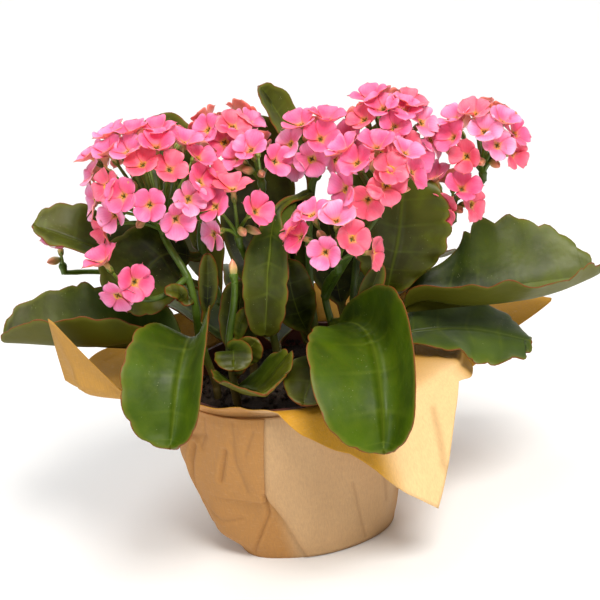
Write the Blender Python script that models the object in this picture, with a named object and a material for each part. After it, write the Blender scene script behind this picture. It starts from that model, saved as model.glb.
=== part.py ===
"""A potted kalanchoe in a kraft paper wrap, standing on a table.

The origin is the middle of the wrapped pot's underside. +Z is up, and the front is -Y.
The plant is laid out from the middle of the pot's rim, in millimetres for a rim of
PLANT_RIM, and grows and shrinks with the rim.
"""

import math

import bmesh
import bpy
import numpy as np
from mathutils import Vector

MM = 0.001

# The nursery pot
RIM_R = 55 * MM
FOOT_R = 39 * MM
POT_H = 88 * MM
POT_WALL = 1.2 * MM
LIP_OUT = 1.5 * MM
LIP_H = 6 * MM
DRAIN_R = 4 * MM
DRAINS = 5
TURNS = 45  # sides of every round piece that is centred on the pot

# The compost
SOIL_DROP = 8 * MM  # below the pot's rim
SOCKET = 22 * MM  # how deep a shoot stands in it

# The paper
PAPER = 0.6 * MM
GAP = 0.4 * MM  # clearance between pieces that touch on the real plant

# The plant
PLANT_RIM = 55  # the rim radius that the plant's own layout is written for
SHOOT_R = 2.1 * MM
STALK_R = 0.9 * MM
LEAF_T = 1.8 * MM
LEAF_EDGE = 0.9 * MM
PETIOLE_R = 2.2 * MM
FLOWER_R = 10.3 * MM
PETAL_T = 1.2 * MM
THROAT = 6.5 * MM  # length of a flower's tube and calyx
HUB = 2 * MM  # a flower head's stalk below its fork
BUD_R = 2.1 * MM
BUD_L = 9 * MM

SPREAD = RIM_R / PLANT_RIM
POT_Z = PAPER + GAP
RIM_Z = POT_Z + POT_H
WRAP_RIM = RIM_R + LIP_OUT + GAP + PAPER / 2

# The paper beyond the rim: at each heading, in degrees from +X, how far its first and second
# lengths reach outwards and how far each rises, in the plant's millimetres.
COLLAR = [
    (0, 28, -4, 8, -14),
    (8, 36, -4, 26, -4),
    (16, 45, -1, 50, -2),
    (24, 40, 2, 32, 0),
    (40, 24, 6, 14, 4),
    (56, 14, 9, 8, 5),
    (88, 13, 9, 8, 5),
    (120, 15, 8, 9, 5),
    (152, 24, 6, 12, 5),
    (168, 34, 7, 12, 4),
    (184, 40, 9, 10, 4),
    (192, 42, 11, 11, 8),
    (200, 44, 14, 12, 44),
    (208, 20, 7, 11, 8),
    (216, 12, 4, 6, 4),
    (232, 6, 4, 4, 3),
    (248, 4, 4, 3, 3),
    (264, 5, 2, 4, 1),
    (272, 7, -1, 6, -6),
    (288, 9, -3, 8, -18),
    (296, 12, -4, 10, -28),
    (304, 14, -4, 13, -42),
    (312, 18, -3, 16, -54),
    (320, 20, -3, 14, -36),
    (328, 22, -2, 11, -18),
    (336, 24, -1, 8, -7),
    (344, 26, -2, 9, -9),
]

# Where the paper is loose round the pot: the middle heading and the spread in degrees, how far it
# stands off in the plant's millimetres, and the share of the pot's height between which it does.
SLACK = [
    (190, 30, 8.5, 0.15, 0.6),
    (222, 22, 4, 0, 0.2),
    (335, 32, 4.5, 0, 0.25),
    (80, 60, 2, 0.1, 0.7),
]

# Each shoot's route from the compost, then the routes of the stalks that branch off it. A route
# that ends with a flower head's name goes up to just below it.
SHOOTS = {
    "shoot_left": [
        [(-37, -8, 0), (-40, -16, 26), (-39, -22, 45), (-40, -21, 61), (-46, -14, 74), "flowers_left_dome"],
        [(-40, -21, 61), (-54, -26, 55), "flowers_lower_left"],
    ],
    "shoot_front_left": [
        [(-27, -23, 0), (-26, -23, 24), (-20, -24, 46), "bud_single"],
    ],
    "shoot_back_left": [
        [(-18, 12, 0), (-28, 10, 35), (-33, 13, 68), (-22, 18, 92), "flowers_back_left"],
        [(-28, 10, 35), (-50, 26, 46), (-86, 30, 54), "flowers_far_left"],
    ],
    "shoot_middle": [
        [(-4, 2, 0), (-6, -2, 40), (-11, -10, 62), "flowers_lower_middle"],
        [(-6, -2, 40), (0, 5, 70), "flowers_middle"],
    ],
    "shoot_centre_right": [
        [(16, 8, 0), (19, 9, 50), (26, 10, 86), "flowers_centre_top"],
    ],
    "shoot_front_right": [
        [(28, -6, 0), (24, -4, 34), (29, -14, 48), "flowers_lower_front"],
        [(24, -4, 34), (38, -15, 56), "flowers_right_front"],
    ],
    "shoot_right": [
        [(38, 2, 0), (50, 5, 16), (61, 7, 35), (79, 16, 58), "flowers_right_dome"],
        [(61, 7, 35), (77, 3, 50), "flowers_right_lower"],
    ],
    "shoot_back_right": [
        [(34, 18, 0), (46, 20, 52), (60, 18, 84), "flowers_top"],
    ],
}

# Each leaf: the shoot that it grows from, the height of its base, the rest of its midrib, the way
# its upper side faces at the base and at the tip, its half widths on its own left and right, how
# far each half folds up at the base and at the tip, in degrees, and how soon it broadens.
LEAVES = {
    "leaf_front_left": dict(
        shoot="shoot_left", height=27,
        midrib=[(-43, -42, 37), (-49, -66, 29), (-57, -83, 2)],
        up=[(0.1, -0.3, 0.95), (-0.1, -0.9, 0.35)], half=(28, 26),
        fold=[(84, 30), (58, 26)], broad=0.12),
    "leaf_front_right": dict(
        shoot="shoot_front_right", height=20,
        midrib=[(38, -28, 25), (42, -52, 22), (41, -77, 7), (38, -89, -14)],
        up=[(0, -0.1, 1), (0.05, -0.9, 0.4)], half=(35, 34),
        fold=[(74, 22), (78, 26)], broad=0.14),
    "leaf_right_large": dict(
        shoot="shoot_right", height=20,
        midrib=[(72, -1, 24), (95, -3, 18), (128, 0, 17), (163, 5, 22)],
        up=[(0, -0.1, 1), (0, -0.1, 1)], half=(44, 30),
        fold=[(66, 60), (52, 40)], broad=0.2),
    "leaf_right_low": dict(
        shoot="shoot_right", height=5,
        midrib=[(66, -4, 8), (94, -2, 4), (124, -6, -7)],
        up=[(0, -0.15, 1), (0.1, -0.3, 1)], half=(22, 24),
        fold=[(20, 8), (4, -6)], broad=0.2),
    "leaf_right_upright": dict(
        shoot="shoot_right", height=29,
        midrib=[(58, -5, 42), (64, -9, 62), (71, -4, 90)],
        up=[(0.1, -0.8, 0.5), (0.1, -0.95, 0.25)], half=(22, 24),
        fold=[(12, 8), (10, 6)], broad=0.12),
    "leaf_tall_back": dict(
        shoot="shoot_centre_right", height=80,
        midrib=[(26, 22, 90), (20, 29, 110), (8, 35, 136)],
        up=[(0.7, -0.5, 0.4), (0.75, -0.5, 0.4)], half=(13, 13),
        fold=[(14, 12), (20, 16)], broad=0.3),
    "leaf_centre_hanging": dict(
        shoot="shoot_centre_right", height=84,
        midrib=[(8, -9, 84), (0, -20, 64), (-4, -28, 46), (-8, -25, 26)],
        up=[(-0.4, -0.8, 0.5), (-0.1, -0.95, 0.3)], half=(11, 12),
        fold=[(12, 20), (20, 10)], broad=0.5),
    "leaf_back_round": dict(
        shoot="shoot_middle", height=20,
        midrib=[(-8, 22, 50), (0, 41, 86), (5, 50, 118)],
        up=[(0, -0.7, 0.7), (0, -0.95, 0.3)], half=(19, 19),
        fold=[(16, 12), (16, 12)], broad=0.3),
    "leaf_back_left": dict(
        shoot="shoot_back_left", height=66,
        midrib=[(-41, 32, 98), (-44, 43, 128)],
        up=[(0, -0.7, 0.7), (0, -0.95, 0.3)], half=(17, 17),
        fold=[(16, 12), (16, 12)], broad=0.3),
    "leaf_left_high": dict(
        shoot="shoot_back_left", height=44,
        midrib=[(-58, 7, 60), (-84, 7, 74), (-113, 10, 90)],
        up=[(0, -0.35, 0.9), (0, -0.35, 0.9)], half=(12, 22),
        fold=[(48, 40), (20, 20)], broad=0.25),
    "leaf_left_low": dict(
        shoot="shoot_left", height=14,
        midrib=[(-64, -8, 28), (-94, -12, 32), (-136, -10, 40)],
        up=[(0, -0.1, 1), (0, -0.1, 1)], half=(26, 32),
        fold=[(66, 56), (62, 50)], broad=0.2),
    "leaf_left_middle": dict(
        shoot="shoot_back_left", height=60,
        midrib=[(-52, -4, 68), (-76, -15, 50)],
        up=[(-0.1, -0.8, 0.6), (-0.1, -0.95, 0.3)], half=(20, 22),
        fold=[(10, 8), (10, 8)], broad=0.25),
    "leaf_front_cup": dict(
        shoot="shoot_front_left", height=3,
        midrib=[(-22, -36, 6), (-17, -50, 9), (-11, -63, 13)],
        up=[(0.1, -0.1, 1), (0.15, -0.3, 1)], half=(27, 22),
        fold=[(50, 58), (30, 34)], broad=0.1),
    "leaf_front_round": dict(
        shoot="shoot_front_right", height=2,
        midrib=[(18, -28, 11), (12, -46, 11), (5, -62, 4)],
        up=[(0, -0.3, 1), (0, -0.9, 0.5)], half=(13, 14),
        fold=[(10, -6), (10, -6)], broad=0.35),
    "leaf_centre_dark": dict(
        shoot="shoot_centre_right", height=6,
        midrib=[(8, 14, 26), (8, 18, 50), (12, 20, 76)],
        up=[(0, -0.7, 0.7), (0, -0.95, 0.2)], half=(12, 13),
        fold=[(16, 12), (16, 12)], broad=0.3),
    "leaf_inner_right": dict(
        shoot="shoot_back_right", height=12,
        midrib=[(32, 26, 24), (32, 32, 44), (32, 34, 66)],
        up=[(0, -0.7, 0.7), (0, -0.95, 0.2)], half=(15, 15),
        fold=[(14, 10), (14, 10)], broad=0.3),
    "leaf_inner_front_left": dict(
        shoot="shoot_front_left", height=8,
        midrib=[(-22, -12, 20), (-18, -6, 34), (-17, -4, 50)],
        up=[(0, -0.8, 0.6), (0, -0.95, 0.2)], half=(11, 10),
        fold=[(6, 4), (6, 4)], broad=0.3),
    "leaf_inner_front": dict(
        shoot="shoot_centre_right", height=12,
        midrib=[(10, -4, 26), (8, -8, 44), (9, -8, 58)],
        up=[(0, -0.9, 0.4), (0, -0.95, 0.2)], half=(11, 11),
        fold=[(14, 10), (14, 10)], broad=0.3),
    "leaf_narrow_right": dict(
        shoot="shoot_front_right", height=14,
        midrib=[(42, -17, 22), (46, -20, 38), (53, -20, 52)],
        up=[(-0.4, -0.9, 0.3), (-0.4, -0.9, 0.2)], half=(6, 6),
        fold=[(20, 20), (10, 10)], broad=0.3),
    "leaf_narrow_left": dict(
        shoot="shoot_left", height=34,
        midrib=[(-33, -17, 47), (-31, -16, 57), (-29, -17, 70)],
        up=[(0.3, -0.9, 0.3), (0.3, -0.9, 0.2)], half=(5, 5),
        fold=[(20, 20), (10, 10)], broad=0.3),
    "leaf_young_scalloped": dict(
        shoot="shoot_front_left", height=20,
        midrib=[(-24, -33, 24), (-25, -42, 18)],
        up=[(0.1, -0.6, 0.8), (0.1, -0.8, 0.6)], half=(9, 9),
        fold=[(8, 4), (8, 4)], broad=0.2),
    "leaf_young_middle": dict(
        shoot="shoot_front_left", height=11,
        midrib=[(-19, -25, 18), (-12, -26, 26)],
        up=[(0.1, -0.9, 0.4), (0.1, -0.95, 0.4)], half=(7, 7),
        fold=[(10, 8), (10, 8)], broad=0.3),
    "leaf_young_pointed": dict(
        shoot="shoot_front_left", height=25,
        midrib=[(-19, -21, 33), (-13, -21, 41)],
        up=[(-0.2, -0.9, 0.4), (-0.2, -0.95, 0.4)], half=(4, 4),
        fold=[(10, 8), (10, 8)], broad=0.3),
    "leaf_bract": dict(
        shoot="shoot_left", height=50,
        midrib=[(-45, -27, 56), (-51, -30, 59)],
        up=[(0, -0.7, 0.7), (0, -0.7, 0.7)], half=(4, 4),
        fold=[(10, 8), (10, 8)], broad=0.3),
    "leaf_rear_left": dict(
        shoot="shoot_back_left", height=3,
        midrib=[(-36, 34, 12), (-60, 54, 26), (-82, 66, 16)],
        up=[(0, 0.1, 1), (-0.2, 0.2, 1)], half=(24, 24),
        fold=[(34, 14), (34, 14)], broad=0.25),
    "leaf_rear_middle": dict(
        shoot="shoot_middle", height=3,
        midrib=[(-4, 36, 10), (-6, 66, 24), (-8, 94, 16)],
        up=[(0, 0, 1), (0, 0.3, 1)], half=(25, 25),
        fold=[(34, 14), (34, 14)], broad=0.25),
    "leaf_rear_right": dict(
        shoot="shoot_back_right", height=3,
        midrib=[(52, 36, 14), (70, 54, 28), (92, 72, 20)],
        up=[(0, 0, 1), (0.2, 0.2, 1)], half=(24, 24),
        fold=[(30, 14), (30, 14)], broad=0.25),
    "leaf_rear_upright": dict(
        shoot="shoot_back_right", height=40,
        midrib=[(58, 36, 60), (68, 46, 84), (76, 50, 104)],
        up=[(-0.1, -0.8, 0.5), (-0.1, -0.9, 0.3)], half=(18, 18),
        fold=[(14, 10), (14, 10)], broad=0.25),
    "leaf_rear_tall": dict(
        shoot="shoot_back_left", height=30,
        midrib=[(-36, 30, 62), (-44, 44, 86), (-50, 52, 104)],
        up=[(0.1, 0.6, 0.8), (0.1, 0.9, 0.4)], half=(18, 18),
        fold=[(14, 10), (14, 10)], broad=0.25),
}

# Each flower head: its middle, the radius of its dome, and its flowers and buds as places on the
# front and on the back of the dome, to the right and up from the middle.
HEADS = {
    "flowers_left_dome": dict(
        middle=(-49, -5, 105), dome=29,
        front=[(-2, 6), (10, 4), (23, -1), (12, -18), (16, 17), (-18, 12), (-27, 4), (-8, 21), (4, 22),
               (-26, -9), (-22, -22), (-11, -8), (1, -12), (22, 10), (18, -9), (28, 5), (-19, -3),
               (4, 14), (-9, 12), (-16, -16), (-28, 12), (-18, 20)],
        back=[(-14, 10), (8, 14), (-4, -8), (16, -6), (-24, 0), (22, 6), (-4, 4), (-14, -12)],
        buds=[(-5, -21), (21, -13), (-8, -2), (14, -12)]),
    "flowers_back_left": dict(
        middle=(-12, 25, 116), dome=13,
        front=[(-8, 1), (4, 2), (11, 5), (0, -5)],
        back=[(0, 4), (-8, -4), (9, -3)],
        buds=[(-3, 6)]),
    "flowers_middle": dict(
        middle=(2, 5, 105), dome=13,
        front=[(-3, 4), (8, -1), (-9, 1)],
        back=[(0, 2)],
        buds=[(-6, -5), (-10, -3), (2, -7)]),
    "flowers_lower_middle": dict(
        middle=(-13, -15, 87), dome=15,
        front=[(-9, -10), (10, 0), (0, 10), (-8, 2)],
        back=[],
        buds=[(5, -10), (11, -9)]),
    "flowers_lower_left": dict(
        middle=(-69, -25, 69), dome=12,
        front=[(-8, 5), (6, -4), (-2, -10)],
        back=[],
        buds=[(10, -9)]),
    "flowers_far_left": dict(
        middle=(-105, 24, 69), dome=8,
        front=[(1, 4)],
        back=[],
        buds=[(-4, -4)]),
    "flowers_top": dict(
        middle=(67, 17, 106), dome=22,
        front=[(-5, -11), (6, -8), (-3, 9), (6, 8), (-12, 4), (15, 3), (20, -4), (-18, -4), (2, 0),
               (12, -13), (-13, -12), (10, 12), (-9, 14)],
        back=[(-10, 4), (6, 8), (2, -6), (14, 0), (-4, 12)],
        buds=[(0, 15), (13, -3), (-11, -3)]),
    "flowers_centre_top": dict(
        middle=(30, 9, 108), dome=15,
        front=[(6, 10), (-6, 8), (-1, -8), (10, -8), (-11, -1), (3, 1), (-9, -10)],
        back=[(0, 4)],
        buds=[(-4, 3)]),
    "flowers_right_front": dict(
        middle=(56, -17, 96), dome=19,
        front=[(-14, -8), (-4, -13), (0, 10), (6, 0), (13, 8), (-9, 3), (-14, 9), (4, -7), (16, -1)],
        back=[(0, 6)],
        buds=[(14, -8), (-2, 3)]),
    "flowers_lower_front": dict(
        middle=(32, -22, 70), dome=18,
        front=[(1, 6), (-4, -8), (8, -2), (18, -8), (-15, -1), (-10, 9), (-18, 5)],
        back=[],
        buds=[(-7, 1)]),
    "flowers_right_dome": dict(
        middle=(111, 12, 95), dome=19,
        front=[(-14, 1), (-8, -8), (0, 3), (9, 8), (14, -6), (-4, 12), (6, -3), (-13, 10), (15, 3)],
        back=[(-8, 4), (6, 6), (4, -8), (12, 0)],
        buds=[(-1, -11), (7, -12), (-16, -5)]),
    "flowers_right_lower": dict(
        middle=(93, 5, 73), dome=12,
        front=[(-8, 7), (-5, -7), (4, 2), (9, -5)],
        back=[(3, 3)],
        buds=[(4, -8)]),
}
HEADS["bud_single"] = dict(middle=(-18, -24, 62), dome=3, front=[], back=[], buds=[(0, 3)])
VIEW_RISE = math.radians(20)  # the heads' fronts turn up by this much
VIEW_LEAN = math.radians(9)  # and their right sides lean down by this much


def place(point):
    """A point of the plant's layout, in metres."""
    x, y, z = point
    return Vector((x * SPREAD, y * SPREAD, RIM_Z + z * SPREAD))


def material(name, colour, roughness, metallic=0.0):
    made = bpy.data.materials.new(name)
    made.use_nodes = True
    shader = made.node_tree.nodes["Principled BSDF"]
    shader.inputs["Base Color"].default_value = (*colour, 1)
    shader.inputs["Roughness"].default_value = roughness
    shader.inputs["Metallic"].default_value = metallic
    return made


def add_object(name, vertices, faces, finish=None, smooth=True):
    mesh = bpy.data.meshes.new(name)
    mesh.from_pydata([tuple(v) for v in vertices], [], faces)
    mesh.validate()
    bm = bmesh.new()
    bm.from_mesh(mesh)
    bmesh.ops.recalc_face_normals(bm, faces=bm.faces)
    bm.to_mesh(mesh)
    bm.free()
    mesh.polygons.foreach_set("use_smooth", [smooth] * len(mesh.polygons))
    made = bpy.data.objects.new(name, mesh)
    bpy.context.collection.objects.link(made)
    if finish:
        mesh.materials.append(finish)
    return made


def combine(name, first, second, operation, finish):
    """One solid from two objects, which are removed. The first may cross itself."""
    step = first.modifiers.new("Boolean", "BOOLEAN")
    step.object = second
    step.operation = operation
    step.solver = "EXACT"
    step.use_self = True
    shaped = first.evaluated_get(bpy.context.evaluated_depsgraph_get())
    mesh = bpy.data.meshes.new_from_object(shaped)
    bm = bmesh.new()
    bm.from_mesh(mesh)
    bmesh.ops.remove_doubles(bm, verts=bm.verts, dist=0.001 * MM)
    bm.to_mesh(mesh)
    bm.free()
    for used in (first, second):
        bpy.data.objects.remove(used)
    mesh.name = name
    made = bpy.data.objects.new(name, mesh)
    bpy.context.collection.objects.link(made)
    mesh.materials.clear()
    mesh.materials.append(finish)
    return made


def revolve(name, profile, finish):
    """A closed solid of revolution about Z. The profile runs from axis to axis, as (radius, height)."""
    inner = profile[1:-1]
    vertices = [(0, 0, profile[0][1]), (0, 0, profile[-1][1])]
    for radius, height in inner:
        for i in range(TURNS):
            turn = 2 * math.pi * i / TURNS
            vertices.append((radius * math.cos(turn), radius * math.sin(turn), height))
    faces = []
    last = 2 + (len(inner) - 1) * TURNS
    for i in range(TURNS):
        j = (i + 1) % TURNS
        faces.append((0, 2 + j, 2 + i))
        faces.append((1, last + i, last + j))
        for k in range(len(inner) - 1):
            a = 2 + k * TURNS
            faces.append((a + i, a + j, a + TURNS + j, a + TURNS + i))
    return add_object(name, vertices, faces, finish)


def smooth_line(points, count):
    """Evenly spaced points on a curve through all the given ones."""
    p = np.array([tuple(q) for q in points], float)
    p = np.vstack([2 * p[0] - p[1], p, 2 * p[-1] - p[-2]])
    dense = []
    for a, b, c, d in zip(p, p[1:], p[2:], p[3:]):
        for t in np.linspace(0, 1, 16, endpoint=False):
            dense.append(0.5 * (2 * b + (c - a) * t + (2 * a - 5 * b + 4 * c - d) * t**2
                                + (3 * b - a - 3 * c + d) * t**3))
    dense = np.array(dense + [p[-2]])
    along = np.concatenate([[0], np.cumsum(np.linalg.norm(np.diff(dense, axis=0), axis=1))])
    want = np.linspace(0, along[-1], count)
    return np.stack([np.interp(want, along, dense[:, k]) for k in range(3)], axis=1)


def directions(line):
    along = np.gradient(line, axis=0)
    return along / np.linalg.norm(along, axis=1)[:, None]


def tube(points, radius, end_radius, rows, sides):
    """Vertices and faces of a round bar along a curve."""
    line = smooth_line(points, rows)
    along = directions(line)
    side = np.cross(along[0], (0.3, 0.9, 0.1))
    vertices, faces = [], []
    for k in range(rows):
        side = side - along[k] * side.dot(along[k])
        side = side / np.linalg.norm(side)
        other = np.cross(along[k], side)
        width = radius + (end_radius - radius) * k / (rows - 1)
        for i in range(sides):
            turn = 2 * math.pi * i / sides
            vertices.append(line[k] + width * (math.cos(turn) * side + math.sin(turn) * other))
    for k in range(rows - 1):
        for i in range(sides):
            a, b = k * sides + i, k * sides + (i + 1) % sides
            faces.append((a, b, b + sides, a + sides))
    faces.append(tuple(reversed(range(sides))))
    faces.append(tuple(range((rows - 1) * sides, rows * sides)))
    return vertices, faces


def gather(pieces):
    vertices, faces = [], []
    for more, more_faces in pieces:
        start = len(vertices)
        vertices += list(more)
        faces += [tuple(start + i for i in face) for face in more_faces]
    return vertices, faces


def pot(finish):
    profile = [
        (0, 0),
        (FOOT_R - 1.5 * MM, 0),
        (FOOT_R, 1.5 * MM),
        (RIM_R, POT_H - LIP_H),
        (RIM_R + LIP_OUT, POT_H - LIP_H + LIP_OUT),
        (RIM_R + LIP_OUT, POT_H - 0.6 * MM),
        (RIM_R + LIP_OUT - 0.6 * MM, POT_H),
        (RIM_R - POT_WALL, POT_H),
        (FOOT_R - POT_WALL, POT_WALL + 1 * MM),
        (FOOT_R - POT_WALL - 1 * MM, POT_WALL),
        (0, POT_WALL),
    ]
    body = revolve("pot_body", [(r, z + POT_Z) for r, z in profile], finish)
    holes = []
    for i in range(DRAINS):
        turn = 2 * math.pi * i / DRAINS
        x, y = 0.6 * FOOT_R * math.cos(turn), 0.6 * FOOT_R * math.sin(turn)
        ends = [(x, y, POT_Z - 3 * MM), (x, y, POT_Z + POT_WALL + 3 * MM)]
        holes.append(tube(ends, DRAIN_R, DRAIN_R, 2, 8))
    return combine("nursery_pot", body, add_object("drain_holes", *gather(holes)), "DIFFERENCE", finish)


def inner_radius(height):
    """The pot's inner radius at a height above its own underside."""
    foot, top = (FOOT_R - POT_WALL, POT_WALL + 1 * MM), (RIM_R - POT_WALL, POT_H)
    share = (height - foot[1]) / (top[1] - foot[1])
    return foot[0] + share * (top[0] - foot[0])


def soil_top():
    return RIM_Z - SOIL_DROP


def soil(finish):
    low, high = POT_WALL + GAP + 1 * MM, POT_H - SOIL_DROP
    profile = [
        (0, POT_Z + low),
        (inner_radius(low) - GAP, POT_Z + low),
        (inner_radius(high - 2 * MM) - GAP, POT_Z + high - 2 * MM),
        (inner_radius(high - 2 * MM) - 5 * MM, POT_Z + high),
        (0, POT_Z + high),
    ]
    body = revolve("soil_body", profile, finish)
    sockets = []
    for routes in SHOOTS.values():
        x, y, _ = routes[0][0]
        top = Vector((x * SPREAD, y * SPREAD, soil_top()))
        ends = [top - Vector((0, 0, SOCKET + GAP)), top + Vector((0, 0, 4 * MM))]
        sockets.append(tube(ends, SHOOT_R + 2 * GAP, SHOOT_R + 2 * GAP, 2, 8))
    return combine("soil", body, add_object("sockets", *gather(sockets)), "DIFFERENCE", finish)


def ease(low, high, value):
    """0 below low and 1 above high, or the other way round, and smooth in between."""
    share = min(1, max(0, (value - low) / (high - low)))
    return share * share * (3 - 2 * share)


def slack(heading, height):
    """How far the loose paper stands off the pot at a heading in degrees and a height."""
    share = height / RIM_Z
    reach = 0
    for middle, spread, most, low, high in SLACK:
        away = (heading - middle + 180) % 360 - 180
        here = ease(low - 0.15, low, share) * ease(0.96, high, share)
        reach += most * math.exp(-(away / spread) ** 2) * here
    return reach * MM * SPREAD


def collar_at(heading):
    """The paper's reach and rise beyond the rim at a heading in degrees, in metres."""
    table = np.array(COLLAR, float)
    table = np.vstack([table, table[0] + [360, 0, 0, 0, 0]])
    return [np.interp(heading, table[:, 0], table[:, k]) * SPREAD for k in range(1, 5)]


def paper_wrap(finish):
    """A thin shell: a flat floor, the cone round the pot and the flared collar."""
    rows = []
    foot = FOOT_R + GAP + PAPER / 2
    shoulder = RIM_Z - LIP_H - 1 * MM
    for i in range(TURNS):
        heading = 360 * i / TURNS
        reach, rise, reach_2, rise_2 = collar_at(heading)
        side = [(foot + (WRAP_RIM - foot) * share, share * shoulder) for share in (0.2, 0.45, 0.7)]
        profile = [
            (0.5 * foot, PAPER / 2),
            (foot + slack(heading, 0), PAPER / 2),
            *[(radius + slack(heading, height), height) for radius, height in side],
            (WRAP_RIM, shoulder),
            (WRAP_RIM, RIM_Z),
            (WRAP_RIM + reach, RIM_Z + rise),
            (WRAP_RIM + reach + reach_2 * 0.55, RIM_Z + rise + rise_2 * 0.45),
            (WRAP_RIM + reach + reach_2, RIM_Z + rise + rise_2),
        ]
        turn = math.radians(heading)
        rows.append([(r * math.cos(turn), r * math.sin(turn), z) for r, z in profile])
    grid = np.array(rows)
    count = grid.shape[1]
    around = np.roll(grid, -1, axis=0) - np.roll(grid, 1, axis=0)
    along = np.gradient(grid, axis=1)
    outward = np.cross(around, along)
    outward /= np.linalg.norm(outward, axis=2)[:, :, None]
    outward[:, 0] = (0, 0, -1)
    outward[:, 1] /= np.abs(outward[:, 1, 2:3])  # keeps the underside flat out to its rim
    vertices = [(0, 0, 0), (0, 0, PAPER)]
    for sign in (1, -1):
        vertices += list((grid + sign * outward * PAPER / 2).reshape(-1, 3))
    faces = []
    inside = 2 + TURNS * count
    for i in range(TURNS):
        j = (i + 1) % TURNS
        faces.append((0, 2 + j * count, 2 + i * count))
        faces.append((1, inside + i * count, inside + j * count))
        for k in range(count - 1):
            a, b = i * count + k, j * count + k
            faces.append((2 + a, 2 + b, 3 + b, 3 + a))
            faces.append((inside + a, inside + a + 1, inside + b + 1, inside + b))
        a, b = i * count + count - 1, j * count + count - 1
        faces.append((2 + a, 2 + b, inside + b, inside + a))
    return add_object("paper_wrap", vertices, faces, finish)


def route_points(route):
    below = Vector((0, 0, HUB + 2 * GAP + 0.4 * SHOOT_R))
    return [head_fork(HEADS[p]) - below if isinstance(p, str) else place(p) for p in route]


def main_stem(routes):
    """A shoot's main line, which stands straight up out of the compost before it leans."""
    points = route_points(routes[0])
    foot = Vector((points[0].x, points[0].y, soil_top()))
    rises = (-SOCKET, -SOCKET / 2, 2 * MM, 8 * MM)
    return [foot + Vector((0, 0, rise)) for rise in rises] + points[1:]


def shoot(name, routes, finish):
    stem = main_stem(routes)
    pieces = [tube(stem, SHOOT_R, SHOOT_R * 0.8, 2 + 2 * len(stem), 8)]
    for route in routes[1:]:
        pieces.append(tube(route_points(route), SHOOT_R * 0.78, SHOOT_R * 0.6, 2 + 2 * len(route), 8))
    if len(pieces) == 1:
        return add_object(name, *pieces[0], finish)
    main = add_object("main", *pieces[0])
    return combine(name, main, add_object("branches", *gather(pieces[1:])), "UNION", finish)


def on_shoot(name, height):
    """The middle of a shoot's main stem at a height of the plant's layout, and the way it runs."""
    line = smooth_line(main_stem(SHOOTS[name]), 120)
    nearest = np.argmin(np.abs(line[:, 2] - place((0, 0, height)).z))
    return Vector(line[nearest]), Vector(directions(line)[nearest])


def half_width(share, broad):
    """A leaf's half width at a share of its length, from a narrow stalk to a round tip."""
    widest = 0.62
    if share < widest:
        grow = min(1, max(0, (share - broad * 0.5) / (widest - broad * 0.5)))
        return math.sin(math.pi / 2 * grow) ** (0.55 + broad)
    return max(0, 1 - ((share - widest) / (1 - widest)) ** 2.4) ** (1 / 2.2)


def leaf(name, design, finish, rows, columns):
    """A fleshy leaf: a folded, curved blade on a midrib, thick in the middle and thin at the edge."""
    foot, shoot_along = on_shoot(design["shoot"], design["height"])
    rest = [place(p) for p in design["midrib"]]
    heading = rest[0] - foot
    heading = (heading - shoot_along * heading.dot(shoot_along)).normalized()
    start = foot + heading * (SHOOT_R + PETIOLE_R + GAP)
    line = smooth_line([start] + rest, rows)
    along = directions(line)
    up_base, up_tip = (np.array(v, float) for v in design["up"])
    shells = {1: [], -1: []}
    for k in range(rows):
        share = k / (rows - 1)
        up = up_base + (up_tip - up_base) * share
        up -= along[k] * up.dot(along[k])
        up /= np.linalg.norm(up)
        side = np.cross(along[k], up)
        broadness = half_width(min(share, 0.985), design["broad"])
        points, ups = [], []
        for hand in (-1, 1):
            full = design["half"][0 if hand < 0 else 1] * SPREAD
            width = max(PETIOLE_R, full * broadness)
            fold = np.interp(share, (0, 1), [ends[0 if hand < 0 else 1] for ends in design["fold"]])
            x = z = 0.0
            run = [(0.0, 0.0, 0.0)]
            steps = 24
            for s in range(steps):
                t = (s + 0.5) / steps
                angle = math.radians(fold) * math.sin(math.pi / 2 * min(1, t / 0.5))
                x += width * math.cos(angle) / steps
                z += width * math.sin(angle) / steps
                run.append((x, z, angle))
            for c in range(1, columns + 1):
                x, z, angle = run[round(steps * c / columns)]
                point = line[k] + side * x * hand + up * z
                normal = up * math.cos(angle) - side * hand * math.sin(angle)
                thick = LEAF_T + (LEAF_EDGE - LEAF_T) * (c / columns) ** 2
                if share < 0.12:
                    thick = max(thick, PETIOLE_R * (1.2 - 4 * share))
                points.append((hand * c, point, normal, thick))
        middle = (0, line[k], up, LEAF_T if share > 0.12 else PETIOLE_R * 1.4)
        ordered = sorted(points + [middle], key=lambda entry: entry[0])
        for sign in (1, -1):
            shells[sign].append([p + sign * n * t / 2 for _, p, n, t in ordered])
    across = 2 * columns + 1
    vertices = [p for row in shells[1] for p in row] + [p for row in shells[-1] for p in row]
    under = rows * across
    faces = []
    for k in range(rows - 1):
        for c in range(across - 1):
            a = k * across + c
            faces.append((a, a + 1, a + across + 1, a + across))
            faces.append((under + a, under + a + across, under + a + across + 1, under + a + 1))
        for c in (0, across - 1):
            a = k * across + c
            faces.append((a, a + across, under + a + across, under + a))
    for k in (0, rows - 1):
        for c in range(across - 1):
            a = k * across + c
            faces.append((a, a + 1, under + a + 1, under + a))
    return add_object(name, vertices, faces, finish)


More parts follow.
